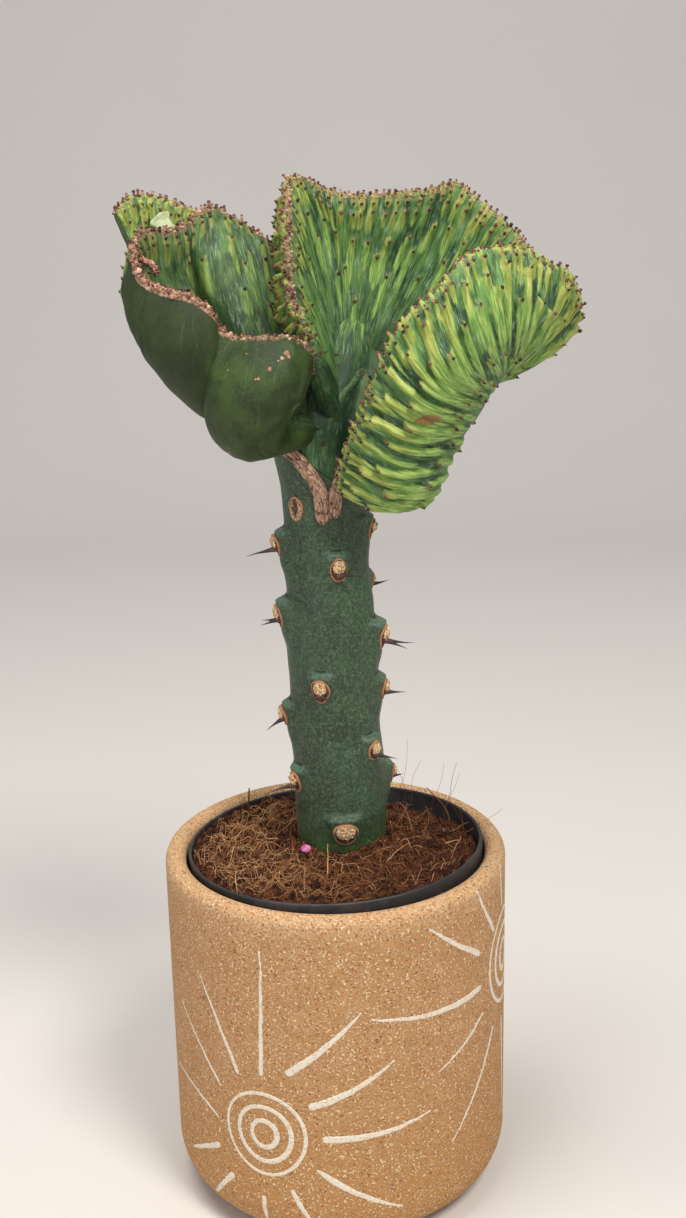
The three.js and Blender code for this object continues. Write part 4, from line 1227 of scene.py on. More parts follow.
def crest_sheet(stations, pitch, thickness, coats, ribs, crust, seed, groove=None,
                last_foot=FOOT_SHARE, edge_half=MARGIN_HALF, deeper=None, dim=(None, None)):
    """A folded sheet with both faces grown over: its mesh, its values, its tips, its edge.

    thickness gives the front and the back half below the margin, coats the rows of tubercles
    of each face, ribs the height of the ribs along each face, and crust how crusty its edge is.
    deeper is how far below a margin it starts, and dim the painted shade on each face."""
    random = np.random.default_rng(seed)
    middle, travelled = sheet_middle(stations, pitch, last_foot)
    count, deep = middle.shape[:2]
    share = travelled / travelled[-1]
    depths = np.append(SKIN_DEPTHS, SKIN_DEPTHS[-1] + 6)
    down = unit(np.gradient(middle, axis=1))
    side = unit(np.cross(np.gradient(middle, axis=0), down))
    from_end = np.minimum(1, np.minimum(travelled, travelled[-1] - travelled) / END_ROUNDING)
    rounding = np.maximum(0.3, np.sqrt(1 - (1 - from_end) ** 2))[:, None]
    crusty = crust(share)
    buried = deeper(share[:, None], depths) if deeper else np.zeros((count, deep))
    skins, tips = [], []
    for k, sign in enumerate((-1, 1)):
        thick = thickness[k](share)[:, None]
        half = rounding * (edge_half + (thick - edge_half) * (1 - np.exp(-depths / 7)))
        half = half + 0.22 * ripple(middle, 17, seed + 1)
        face = middle + sign * side * half[..., None]
        found_coats = [(strength(share) * rounding[:, 0], spacing, rows)
                       for strength, spacing, rows in coats[k]]
        relief, ridge, blush, shade, found = grow(face, depths, found_coats, random)
        wander = 0.9 * ripple(np.stack([travelled[:, None] + 0 * depths,
                                        depths + 0 * travelled[:, None]], -1), 26, seed + 7 + k)
        rib = 0.5 + 0.5 * np.cos(2 * math.pi * travelled[:, None] / RIB_PITCH + wander * 2.2)
        rib_fade = np.clip((58 - depths) / 25, 0, 1) * ribs[k](share)[:, None]
        relief = np.maximum(relief, rib * rib_fade) + 0.35 * rib * rib_fade
        ridge = np.maximum(ridge, 0.42 * rib * np.clip(rib_fade * 2, 0, 1))
        if groove and groove[0] == sign:
            relief = relief + groove[1](travelled)[:, None] * np.clip(depths / 22, 0, 1)
        edge_fade = np.clip(depths / 1.2, 0, 1) * np.clip((66 - depths) / 20, 0, 1)
        outer = face + sign * side * (relief * edge_fade)[..., None]
        strongest = np.max([strength for strength, *_ in found_coats] + [np.zeros(count)], 0)
        ribbed = np.clip(strongest[:, None] + buried / 30, 0, 1)
        ridge[:, :2] = np.maximum(ridge[:, :2], ridge[:, 2:3])
        painted_shade_amount = np.repeat((dim[k] or steady(0.0))(share)[:, None], deep, 1)
        skins.append((outer, half, relief, ridge, blush, shade, ribbed, painted_shade_amount))
        tips += [(outer[i, j], unit(sign * side[i, j] - down[i, j] * 0.9), tall)
                 for i, j, tall in found]
    (front, front_half, front_relief, *front_values) = skins[0]
    (back, back_half, back_relief, *back_values) = skins[1]
    clump = 1 + crusty * (0.26 * ripple(middle[:, 0], 2.9, seed + 2)
                          + 0.22 * ripple(middle[:, 0], 7, seed + 3))
    clump = clump + 0.5 / TOOTH * np.maximum(front_relief, back_relief)[:, 2] * rounding[:, 0]
    edges = []
    for angle in EDGE_ANGLES:
        wide = (front_half if angle < 0 else back_half)[:, :1]
        edges.append(middle[:, 0] - down[:, 0] * math.cos(angle) * TOOTH * clump[:, None]
                     + side[:, 0] * math.sin(angle) * wide)
    loops = np.concatenate([front[:, ::-1], np.stack(edges, 1), back], 1)
    rim = np.zeros((count, len(EDGE_ANGLES)))
    highest = [rim + np.maximum(a, b)[:, 2:3] for a, b in zip(front_values, back_values)]
    fills = (highest[0] * 0.9, rim, rim, highest[3], highest[4])
    whole = [np.concatenate([a[:, ::-1], fill, b], 1)
             for a, b, fill in zip(front_values, back_values, fills)]
    depth_row = np.concatenate([depths[::-1], np.zeros(len(EDGE_ANGLES)), depths])
    depth_of = depth_row + np.concatenate([buried[:, ::-1], rim + buried[:, :1], buried], 1)
    apart = np.concatenate([np.zeros(deep + 3), np.full(deep + 3, 90.0)])
    grain = np.stack([travelled[:, None] + 0 * depth_row, depth_of, apart + 0 * depth_of], -1)
    crust_of = crusty[:, None] * np.exp(-(depth_of / (0.7 + 0.8 * crusty[:, None])) ** 2)
    vertices, faces = loops_skin(loops, False)
    sides = loops.shape[1]
    k = np.arange(sides // 2 - 1)
    start_cap = np.stack([k, sides - 1 - k, sides - 2 - k, k + 1], -1)
    end = (count - 1) * sides
    end_cap = np.stack([end + k, end + k + 1, end + sides - 2 - k, end + sides - 1 - k], -1)
    values = {name: value.ravel() for name, value in
              zip(("ridge", "blush", "shade", "ribbed", "dim"), whole)}
    values |= {"depth": depth_of.ravel(), "crust": crust_of.ravel(),
               "grain": (grain * MM).reshape(-1, 3)}
    edge_line = (middle[:, 0], side[:, 0], -down[:, 0], front_half[:, 0], clump, crusty,
                 {-1: front, 1: back})
    return (vertices, faces + [start_cap, end_cap]), values, tips, edge_line


# Rows of tubercles: depth, scatter, every how many ribs, from which rib, length, half width and
# height.
FAN_ROWS = [(0.9, 0.3, 1, 0, 4, 1.4, 0.6), (4.6, 0.8, 1, 0, 11, 1.45, 1.4),
            (15.5, 2.4, 2, 1, 22, 1.9, 1.7), (25, 3, 4, 0, 22, 1.9, 1.2),
            (37, 4, 4, 2, 20, 1.9, 1.0)]
FAN_SIDE_ROWS = [(2.4, 1.2, 1, 0, 14, 1.5, 0.9), (16, 4, 4, 0, 18, 1.7, 1.0)]
BACK_ROWS = [(2.0, 0.6, 1, 0, 9, 1.6, 1.3), (8, 2.5, 2, 1, 18, 2.0, 1.6),
             (18, 4, 2, 0, 20, 2.1, 1.5), (32, 5, 2, 1, 18, 2.1, 1.1)]
HOOD_EDGE_ROWS = [(0.9, 0.4, 1, 0, 14, 1.15, 2.2)]
HOOD_ROWS = [(6.5, 2.5, 2, 0, 40, 1.95, 3.1), (16, 3.5, 2, 1, 38, 2.0, 3.1),
             (38, 4, 2, 0, 22, 2.0, 2.3), (50, 4, 4, 1, 14, 2.0, 1.8)]
LOBE_ROWS = [(0.9, 0.3, 1, 0, 4, 1.4, 0.6), (3.8, 0.8, 1, 0, 10, 1.4, 1.4),
             (12, 3, 2, 1, 18, 1.8, 1.7), (22, 4, 3, 0, 18, 1.8, 1.5), (34, 4, 3, 1, 15, 1.8, 1.1)]
HOOD_FROM = [0.52, 0.57, 1]

fan_mesh, fan_values, fan_tips, fan_edge = crest_sheet(
    CENTRE_FAN, 0.8,
    [steady(3.25), varying([0, 0.1, 0.24, 0.33, 1], [3.3, 6.4, 6.2, 3.3, 3.3])],
    [[(varying([0.25, 0.29, 0.55, 0.64, 1], [0, 1.0, 1.0, 0.7, 0.7]), 4.7, FAN_ROWS),
      (varying([0.08, 0.12, 0.25, 0.29], [0, 0.9, 0.9, 0]), 5.4, FAN_SIDE_ROWS)],
     [(varying([0.08, 0.12, 0.22, 0.28, 0.52, 0.57], [0, 2.2, 2.2, 0.9, 0.9, 0]), 4.4, BACK_ROWS),
      (varying(HOOD_FROM, [0, 1, 1]), 4.3, HOOD_EDGE_ROWS),
      (varying(HOOD_FROM, [0, 1, 1]), 5.3, HOOD_ROWS)]],
    [varying([0, 0.1, 0.55, 0.64, 1], [0.1, 0.2, 0.2, 0.15, 0.15]),
     varying([0, 0.1, 0.52, 0.57, 1], [0.1, 0.4, 0.4, 0.3, 0.3])],
    varying([0.08, 0.11, 0.22, 0.28, 0.55, 0.64], [0, 0.6, 0.6, 0.55, 0.45, 0.25]), 51,
    deeper=lambda share, depth: np.interp(share, [0, 0.09, 0.12], [78, 56, 0]) + 0 * depth)

LOBE_PITCH = 0.9
CREASE_AT = 104.0


def crease_lines(travelled):
    """The creases between the two smooth swellings of the left lobe."""
    lines = ((0, 0.9, 2.4), (-4.5, 0.5, 1.0), (-8.0, 0.35, 0.9), (5.5, 0.3, 1.2))
    return sum(-depth * np.exp(-((travelled - CREASE_AT - away) / width) ** 2)
               for away, depth, width in lines)


lobe_mesh, lobe_values, lobe_tips, lobe_edge = crest_sheet(
    LEFT_LOBE, LOBE_PITCH,
    [varying([0, 0.45, 0.55, 0.93, 1], [2.75, 2.75, 4, 4, 2.6]),
     varying([0, 0.45, 0.55, 0.93, 1], [2.75, 2.75, 4, 4, 2.6])],
    [[(varying([0, 0.4, 0.46, 1], [0.95, 0.95, 0, 0]), 4.4, BACK_ROWS)],
     [(varying([0, 0.74, 0.8, 1], [0.85, 0.85, 0.4, 0.3]), 4.6, LOBE_ROWS)]],
    [varying([0, 0.4, 0.46, 1], [0.4, 0.4, 0, 0]), steady(0.2)],
    varying([0, 0.4, 0.48, 0.72, 0.77, 1], [0.6, 0.6, 0.95, 0.95, 0.6, 0.5]), 62,
    (-1, crease_lines), 0.9, 1.2,
    # Painted shade: the lobe's left swelling and its end darkened as if in less light, its inner
    # face all over.
    dim=(varying([0.4, 0.46, 0.68, 0.74, 0.92, 0.95], [0, 0.6, 0.6, 0.12, 0.12, 0.5]),
         steady(0.45)),
    deeper=lambda share, depth: (np.interp(share, [0.91, 0.95], [0, 56])
                                 * np.clip((depth - 17) / 6, 0, 1)))
flap_mesh, flap_values, flap_tips, flap_edge = crest_sheet(
    FAR_FLAP, LOBE_PITCH, [steady(2.5), steady(2.5)],
    [[(steady(0.95), 4.6, FAN_ROWS)], [(steady(0.9), 4.4, BACK_ROWS)]],
    [steady(0.5), steady(0.4)], steady(0.5), 73)

# The crest's heart, which all the folds grow from: it leans back into the fan's face.
# Height, middle, how far its front and its back lie from the axis plane, half width, and how
# far it turns back to the right.
HEART = np.array([
    [312, -1.1, -17.8, 17.8, 17.8, 0], [322, -1.4, -18.4, 18.6, 18.8, 0],
    [333, -1, -18.6, 18, 21, 0], [342, 0.5, -18.0, 15, 22, 0.03], [351, 2.5, -15.4, 13, 22, 0.1],
    [360, 5, -10.6, 11, 21, 0.2], [368, 7, -4.8, 11, 18, 0.28], [376, 9, 0.6, 11, 14, 0.34],
    [383, 11, 4.8, 11, 10, 0.38], [388, 12, 7.8, 11.5, 6, 0.4],
])
# The groove on the heart's right, in the hood's shade: height, middle across, and depth.
HEART_GROOVE = np.array([[322, 9, 0], [332, 9.5, 3.0], [345, 11, 5.0], [356, 14.5, 5.0],
                         [366, 18, 3.5], [378, 22, 1.0], [388, 26, 0]])
GROOVE_HALF = 4.6
HEART_AROUND = 150
HEART_UP = 64
HEART_ARC = 17.0
HEART_RIBS = 22
# How deep below a margin the heart's top counts as, and how much deeper its foot does.
HEART_TOP_DEPTH = 44
HEART_DEPTH = 70


def heart_point(angle, z):
    """A point of the heart's plain form, by angle and height."""
    x, front, back, across, turn = (smooth_height(z, HEART, k) for k in range(1, 6))
    c, s = np.cos(angle), np.sin(angle)
    flat = np.sign(c) * np.abs(c) ** 0.85
    y = (front + back) / 2 + (back - front) / 2 * s + across * flat * turn
    groove_x, groove = (smooth_height(z, HEART_GROOVE, k) for k in (1, 2))
    aside = (x + across * flat - groove_x) / GROOVE_HALF
    y = y + np.maximum(groove, 0) * np.exp(-aside ** 2) * np.clip(-s * 4, 0, 1)
    return np.stack([x + across * flat, y, z], -1)


angle = np.linspace(math.pi / 2, 2.5 * math.pi, HEART_AROUND, endpoint=False)
low = seam_height(heart_point, angle, GAP, 352)
heart_top = HEART[-1, 0]
levels = np.linspace(1, 0, HEART_UP)
heart_face = np.stack([heart_point(angle, low + (heart_top - low) * s) for s in levels], 1)
heart_depths = HEART_TOP_DEPTH + levels[::-1] * HEART_DEPTH
HEART_ROWS = [(58, 3, 2, 0, 22, 1.6, 1.7), (74, 4, 2, 1, 24, 1.7, 1.7),
              (92, 4, 3, 2, 18, 1.6, 1.2)]
relief, ridge, blush, shade, heart_tips = grow(
    heart_face, heart_depths, [(np.ones(HEART_AROUND), 4.8, HEART_ROWS)],
    np.random.default_rng(84))
heart_out = unit((heart_face - heart_face.mean(0, keepdims=True)) * [1, 1, 0])
top_ribs = 0.5 + 0.5 * np.cos(angle[:, None] * HEART_RIBS + 1.5 * ripple(heart_face, 14, 85))
ridge = np.maximum(ridge, 0.62 * top_ribs * np.clip((66 - heart_depths) / 14, 0, 1))
relief = relief * np.clip((1 - levels[::-1]) * 8, 0, 1)
relief = relief + 0.3 * ripple(heart_face, 12, 81) + 0.2 * np.sin(angle * 17)[:, None]
heart_loops = (heart_face + heart_out * relief[..., None]).transpose(1, 0, 2)[::-1]
heart_mesh = loops_skin(heart_loops)
heart_tips = [(heart_face[i, j] + heart_out[i, j] * relief[i, j],
               unit(heart_out[i, j] + [0, 0, 0.5]), tall) for i, j, tall in heart_tips
              if heart_out[i, j, 1] < -0.2]


def over_heart(value):
    """A value of the heart's grid, in the order of its skin's points."""
    return np.append(value.T[::-1].ravel(), [0, 0])


heart_depth_of = np.broadcast_to(heart_depths, ridge.shape)
heart_grain = np.stack([angle[:, None] * HEART_ARC + 0 * ridge, heart_depth_of,
                        200 + 0 * ridge], -1)
heart_grain = heart_grain.transpose(1, 0, 2)[::-1].reshape(-1, 3)
none = 0 * ridge
heart_values = {name: over_heart(value) for name, value in {
    "ridge": ridge, "blush": blush, "shade": shade, "ribbed": none + 1, "depth": heart_depth_of,
    "crust": none, "dim": none}.items()}
heart_values["grain"] = np.vstack([heart_grain, heart_grain[0], heart_grain[-1]]) * MM

skin, place, shader = new_finish("crest_skin")
ridge, blush, shade, depth, ribbed, crust, dim = map(
    place.value, ("ridge", "blush", "shade", "depth", "ribbed", "crust", "dim"))
grain = place.value("grain", "Vector")
streak = grain.stretched(1, 0.14, 1).noise(1.2, 5, 0.65)
patch = grain.stretched(1, 0.3, 1).noise(6, 4, 0.6)
lines = grain.stretched(1, 0.07, 1).noise(0.5, 3, 0.7)
deepness = depth.step(8, 42)
near_edge = depth.step(26, 3)
trunk = depth.step(46, 72)
trunk_green = patch.step(0.4, 0.66).mix((34, 56, 34), (58, 90, 50))
haze = place.noise(7, 5, 0.65)
haze_lines = lines.step(0.49, 0.62) * haze.step(0.44, 0.62) * (1 - trunk * 0.7)
ground = patch.step(0.38, 0.62).mix((32, 64, 40), (108, 150, 78)).under(
    (deepness * 0.45, (46, 80, 48)),
    (streak.step(0.48, 0.66) * 0.6, (136, 168, 82)),
    (shade * 0.6, (42, 80, 56)),
    (trunk, trunk_green),
    (haze_lines * 0.65, (164, 194, 160)))
yellow = streak.step(0.32, 0.68).mix((120, 140, 48), (186, 188, 104))
green = streak.step(0.34, 0.64).mix((90, 138, 58), (176, 204, 108))
strong = near_edge * 0.3 + ridge * 0.9 - deepness * 0.4
top_colour = strong.step(0.45, 0.95).mix(green, yellow).under((trunk, (82, 120, 52)))
ridge_mask = (ridge + (streak - 0.5) * 0.55).step(0.34, 0.58) * (0.98 - deepness * 0.22)
ribbed_colour = ground.under(
    (ridge_mask * (1 - trunk * 0.3), top_colour),
    (lines.step(0.47, 0.36) * 0.45, (36, 68, 34)),
    (blush * 0.75, (104, 62, 44)))
scrape = place.stretched(1, 1, 0.3).noise(9, 6, 0.75).step(0.66, 0.72)
scab = (1 - place.cells(14.0).step(0.05, 0.07)) * place.noise(30, 1).step(0.5, 0.55)
drawn_lines = grain.stretched(1, 0.1, 1).noise(2.2, 4, 0.75).step(0.54, 0.70)
smooth_colour = place.noise(11, 5, 0.6).step(0.35, 0.68).mix((34, 50, 20), (58, 80, 36)).under(
    (place.noise(1.1, 3, 0.7).step(0.5, 0.72) * 0.35, (84, 106, 50)),
    (scrape * 0.6, (146, 166, 128)),
    (scab * 0.85, (206, 168, 122)),
    (drawn_lines * 0.34, (108, 130, 76)))
# The brown scar halfway down the hood: its middle, and how each axis is scaled to shape it.
SCAR = (39.5, -49.0, 350.5)
SCAR_STRETCH = (0.85, 0.5, 2.1)
from_scar = place.node("VectorMath", {"operation": "DISTANCE"}, {
    0: place.stretched(*SCAR_STRETCH),
    1: tuple(at * by * MM for at, by in zip(SCAR, SCAR_STRETCH))}, "Value") / MM
scar = (from_scar + place.noise(3, 4, 0.7) * 5).step(7.6, 6.4)
scar_colour = place.noise(1.5, 3).mix((110, 74, 44), (170, 126, 84))
crumble = place.noise(1.3, 4, 0.75)
crust_colour = crumble.step(0.36, 0.62).mix((100, 66, 54), (192, 152, 126))
crust_mask = (crust + (crumble - 0.5) * 0.9).step(0.4, 0.75)
crest_colour = ribbed.step(0.1, 0.5).mix(smooth_colour, ribbed_colour).under(
    # Painted shade, laid over faces that are in less light.
    (dim, (36, 44, 20)), (scar * 0.9, scar_colour), (crust_mask, crust_colour))
skin_relief = streak * 0.6 + lines * 0.25 + place.noise(0.9, 3, 0.6) * 0.25
skin_relief = skin_relief + crust_mask * crumble * 1.4
coat_with(shader, crest_colour, skin_relief.bump(0.5), haze * 0.2 + 0.48, 0.32)

crest_parts = [fan_mesh, lobe_mesh, flap_mesh, heart_mesh]
crest_values = [fan_values, lobe_values, flap_values, heart_values]
make_piece("crested_scion", *join(crest_parts), skin, "crest_skin", ["crest"],
           {key: np.concatenate([v[key] for v in crest_values]) for key in fan_values})

# The crust of the margin: crowded young tubercles, pink and tan, with dark dots of spines.
LANES = np.radians([-66, -27, 18, 60])


def chance_sections(middle, at, stride, short_of=0.0):
    """Sections at chance steps along a margin, each with its share of the margin's length."""
    travelled = run_lengths(middle)
    while at < travelled[-1] - short_of:
        i = min(int(np.searchsorted(travelled, at)), len(travelled) - 1)
        at += stride(i)
        yield i, travelled[i] / travelled[-1]


random = np.random.default_rng(91)
beads, tones = [], []
for middle, side, outward, half, clump, crusty, _ in (fan_edge, lobe_edge, flap_edge):
    crowding = np.minimum(1.3, 0.35 + 0.8 * crusty)
    for lane in LANES:
        for i, _ in chance_sections(middle, random.uniform(0, 1),
                                    lambda i: random.uniform(0.8, 2.0) / crowding[i]):
            if crusty[i] < 0.05:
                continue
            angle = lane + random.normal() * 0.3
            point = (middle[i] + outward[i] * math.cos(angle) * TOOTH * clump[i] * 0.9
                     + side[i] * math.sin(angle) * half[i] * 0.95)
            pointing = outward[i] * math.cos(angle) + side[i] * math.sin(angle)
            size = random.uniform(0.3, 0.68) * (0.75 + 0.4 * crusty[i])
            if crusty[i] > 0.7 and random.uniform() < 0.2:
                size = size * random.uniform(1.3, 2.1)
            lay(beads, tones, bead(point, pointing, size, size * random.uniform(0.7, 1.2), random),
                random.beta(0.9, 1.0))
FAN_KNOBS = varying([0.08, 0.11, 0.28, 0.55, 0.6, 1], [0, 0.9, 1.0, 1.0, 0.8, 0.8])
LOBE_KNOBS = varying([0, 0.44, 0.72, 0.8, 1], [1.4, 1.2, 0.8, 0.5, 0.4])
knobs = []
for (middle, side, outward, half, clump, crusty, _), standing in (
        (fan_edge, FAN_KNOBS), (lobe_edge, LOBE_KNOBS), (flap_edge, steady(1.2))):
    for i, share in chance_sections(middle, random.uniform(0.5, 1.5),
                                    lambda i: random.uniform(1.4, 3.2)):
        stands = float(standing(share)) * random.uniform(0.5, 1.4)
        heading = unit(outward[i] + side[i] * random.uniform(-0.7, 0.7))
        if stands < 0.2:
            continue
        foot = middle[i] + heading * TOOTH * 0.7
        top = middle[i] + heading * (TOOTH * clump[i] + stands)
        radii = np.array([0.75, 0.62, 0.5]) * random.uniform(0.85, 1.2)
        lay(beads, tones, tube([foot, (foot + top) / 2, top], radii, 7), random.uniform(0.3, 0.75))
        knobs.append((top, heading))
# Scabs on the lobe's right swelling: the share of its margin, the depth and the size.
SCABS = [(0.878, 6, 1.3), (0.884, 6.8, 0.8), (0.875, 7.4, 0.8), (0.86, 11.5, 0.9),
         (0.847, 15.6, 0.6), (0.842, 15.0, 0.5), (0.872, 9, 0.35), (0.79, 12, 0.4),
         (0.815, 6, 0.35)]
middle, side, *_, faces = lobe_edge
for along, deep, size in SCABS:
    i = int(along * (len(middle) - 1))
    j = int(np.searchsorted(SKIN_DEPTHS, deep))
    lay(beads, tones, bead(faces[-1][i, j], -side[i], size, 0.4, random),
        random.uniform(0.6, 0.9))
# The curl of the lobe's crusty edge into its hollow.
CURL_POINTS = 24
CURL_RADIUS = 1.2
CURL = [(-68.2, -26.5, 410.5), (-65.5, -27, 409.3), (-62.8, -27.5, 407.6), (-62.0, -28.5, 405.2)]
curl = smooth_line(CURL, np.linspace(0, 1, CURL_POINTS))
lay(beads, tones, tube(curl, CURL_RADIUS + 0.3 * np.sin(np.arange(CURL_POINTS) * 1.7), 10), 0.55)
for point in curl[1:-1]:
    for _ in range(4):
        heading = unit(random.normal(size=3))
        size = random.uniform(0.4, 0.8)
        lay(beads, tones, bead(point + heading, heading, size, size, random),
            random.uniform(0.1, 1))
crumb, place, shader = new_finish("margin_crust")
tone = place.value("tone")
crumb_colour = tone.ramp((0.0, (68, 40, 34)), (0.35, (118, 76, 60)), (0.7, (170, 128, 106)),
                         (1.0, (206, 176, 150)))
coat_with(shader, crumb_colour, place.noise(0.6).bump(0.3), 0.8, 0.3)
make_piece("margin_crust", *join(beads), crumb, "crest_skin",
           values={"tone": np.concatenate(tones)})

# The fingers of the margin: the youngest tubercles, which lie on a face and stand out past it.
# For each face: its side, their spacing, their size, and how far they stand out by the share of
# the way along the margin.
FINGERS = [
    (fan_edge, 1, 6.0, 1.4, varying([0.09, 0.12, 0.23, 0.27], [0, 2.4, 3.6, 0])),
    (fan_edge, -1, 4.2, 0.9, varying([0.55, 0.6, 0.73, 1], [0, 0.6, 0.4, 0.4])),
    (flap_edge, -1, 4.4, 1.2, steady(1.3)),
    (flap_edge, 1, 4.4, 1.1, steady(0.9)),
    (lobe_edge, -1, 4.4, 1.1, varying([0, 0.38, 0.44], [0.7, 0.7, 0])),
]
FINGER_ROWS = (9, 6, 3, 1)
FINGER_POINTS = 12
FINGER_SIDES = 8
# How brown a finger is at each of its points: only at its tip.
FINGER_BROWN = [0] * 9 + [0.2, 0.9, 1.2]
fingers, burnt = [], []
for (middle, side, outward, half, clump, crusty, faces), sign, spacing, size, standing in FINGERS:
    for i, share in chance_sections(middle, random.uniform(0.5, 2),
                                    lambda i: spacing * random.uniform(0.7, 1.35), 1):
        stands = float(standing(share))
        if stands < 0.3:
            continue
        stands = stands * random.uniform(0.4, 1.4)
        drift = random.normal() * 1.2
        line = []
        for row in FINGER_ROWS:
            shifted = np.clip(i + int(drift * row / 8), 0, len(middle) - 1)
            line.append(faces[sign][shifted, row] - side[i] * sign * (0.6 * size + 0.05 * row))
        heading = unit(outward[i] + side[i] * sign * random.uniform(0.3, 0.9)
                       + random.normal(size=3) * 0.1)
        last = middle[i] + side[i] * sign * half[i] * 0.7 + outward[i] * TOOTH * 0.4
        line += [last, last + heading * stands * 0.6, last + heading * stands]
        along = np.linspace(0, 1, FINGER_POINTS)
        line = smooth_line(np.array(line), along)
        swelling = np.interp(along, [0, 0.3, 0.6, 0.85, 1], [0.6, 1.0, 1.15, 0.95, 0.6])
        radii = swelling * size * random.uniform(0.8, 1.25)
        fingers.append(tube(line, radii, FINGER_SIDES))
        burnt.append(np.append(np.repeat(FINGER_BROWN, FINGER_SIDES), [0, 1]))
        knobs.append((line[-1], heading))
edge_count = sum(map(len, burnt))
# The small ridges down the crest's heart, by compass angle and height, tip first.
HEART_RIDGES = [
    [(264, 371.5), (267, 366), (271, 359)],
    [(295, 364.5), (287, 361.5), (279, 358), (272, 351), (270, 343.5)],
    [(272, 353), (271, 347), (270, 341)],
    [(263, 344), (265, 339), (268, 333)],
    [(270, 338), (271, 332), (272, 325)],
]
RIDGE_POINTS = 14
RIDGE_SIDES = 14
RIDGE_RADIUS = 2.35
RIDGE_INWARD = (0, 1.9, -0.6)
for ridge_line in HEART_RIDGES:
    share = np.linspace(0, 1, RIDGE_POINTS)
    at, z = smooth_line(np.array(ridge_line, float), share).T
    line = heart_point(np.radians(at), z) + RIDGE_INWARD
    swelling = np.sin(math.pi * (0.08 + 0.86 * share ** 0.7)) ** 0.4
    fingers.append(tube(line, RIDGE_RADIUS * swelling, RIDGE_SIDES))
    burnt.append(np.zeros(len(fingers[-1][0])))
    knobs.append((line[1] + [0, -2.2, 0.7], unit(np.array([0.0, -0.8, 0.6]))))
finger_mesh = join(fingers)
on_edge = np.arange(len(finger_mesh[0])) < edge_count
none = np.zeros(len(finger_mesh[0]))
make_piece("margin_fingers", *finger_mesh, skin, "crest_skin", values={
    "ridge": np.where(on_edge, 0.55, 0.36), "blush": np.concatenate(burnt), "shade": none,
    "depth": np.where(on_edge, 3.0, 66.0), "ribbed": none + 1, "crust": none, "dim": none,
    "grain": finger_mesh[0] * MM})

# The cut on the far flap: a pale smooth scar where a tubercle was pared off.
CUT_PLACE = (-60.2, 5.2, 423.0)
CUT_HALVES = (6.3, 4.0)
# The rings of its healed edge: the share of its size, and how far each stands out.
CUT_RINGS = [(1.0, -2.2), (1.04, -0.2), (1.0, 0.35), (0.93, 0.5), (0.8, 0.25), (0.5, 0.1),
             (0.1, 0.05)]
facing = unit(np.array([0.15, -0.9, 0.38]))
across = unit(np.cross(facing, [0.0, 0.1, 1.0]))
upright = np.cross(across, facing)
angle = full_turn(40)
outline = 1 + 0.13 * np.cos(4 * angle - 0.9) + 0.06 * np.sin(3 * angle)
rings = []
for share, lift in CUT_RINGS:
    rings.append(CUT_PLACE + (outline * share)[:, None] * (
        np.outer(np.cos(angle) * CUT_HALVES[0], -across)
        + np.outer(np.sin(angle) * CUT_HALVES[1], upright)) + facing * lift)
pared, place, shader = new_finish("pared_scar")
pared_colour = place.noise(4, 4, 0.6).step(0.35, 0.7).mix((134, 152, 100), (184, 190, 150))
coat_with(shader, pared_colour, place.noise(1.5, 3).bump(0.25), 0.55)
make_piece("flap_scar", *loops_skin(np.array(rings)), pared, "crest_skin")

# The tubercles' tips: dark horny shields, each with a pair of tiny spines.
shields, tones = [], []
for point, pointing, height in fan_tips + lobe_tips + flap_tips + heart_tips:
    size = random.uniform(0.5, 0.8)
    lay(shields, tones, bead(point + pointing * 0.1, pointing, size, size * 0.9, random),
        random.uniform(0, 0.7))
    across = unit(np.cross(pointing, [0.0, 0.2, 1.0]))
    for sign in (-1, 1):
        heading = unit(pointing + sign * across * 0.8 + random.normal(size=3) * 0.15)
        root = point + pointing * 0.2
        tip = root + heading * random.uniform(0.8, 1.5)
        lay(shields, tones, tube([root, (root + tip) / 2, tip], [0.24, 0.15, 0.04], 4), 0.1)
for end, heading in knobs:
    size = random.uniform(0.5, 0.8)
    lay(shields, tones, bead(end, heading, size, size * 0.8, random), random.uniform(0, 0.8))
horn, place, shader = new_finish("dark_horn")
tone = place.value("tone")
horn_colour = (tone + place.noise(0.7) * 0.4).step(0.2, 0.9).mix((42, 26, 24), (112, 70, 56))
coat_with(shader, horn_colour, None, 0.6)
make_piece("tubercle_tips", *join(shields), horn, "crest_skin",
           values={"tone": np.concatenate(tones)})


# The graft's callus.
# A cracked corky ridge that healed over the seam of the V cut: a long left limb, a short right
# one, and a tongue of cork under the apex. Round the sides and the back it is only a thin line.

# Compass angle and height of each limb's line on the stem, with its half width.
LIMBS = [
    [(-70, 340.5, 2.4), (-55, 338, 2.9), (-42, 335.3, 3.1), (-30, 332, 3.0),
     (-18, 326.8, 2.9), (-8, 321.3, 3.0), (-2, 315, 3.2), (-0.5, 309, 3.3), (0.5, 304, 2.9)],
    [(26, 329, 2.2), (23, 323, 2.8), (18, 318, 3.0), (15, 313, 3.1), (14, 309, 2.9),
     (13, 306.5, 2.2)],
]
LIMB_POINTS = 150
LIMB_AROUND = 40
SEAM_HALF = 1.5


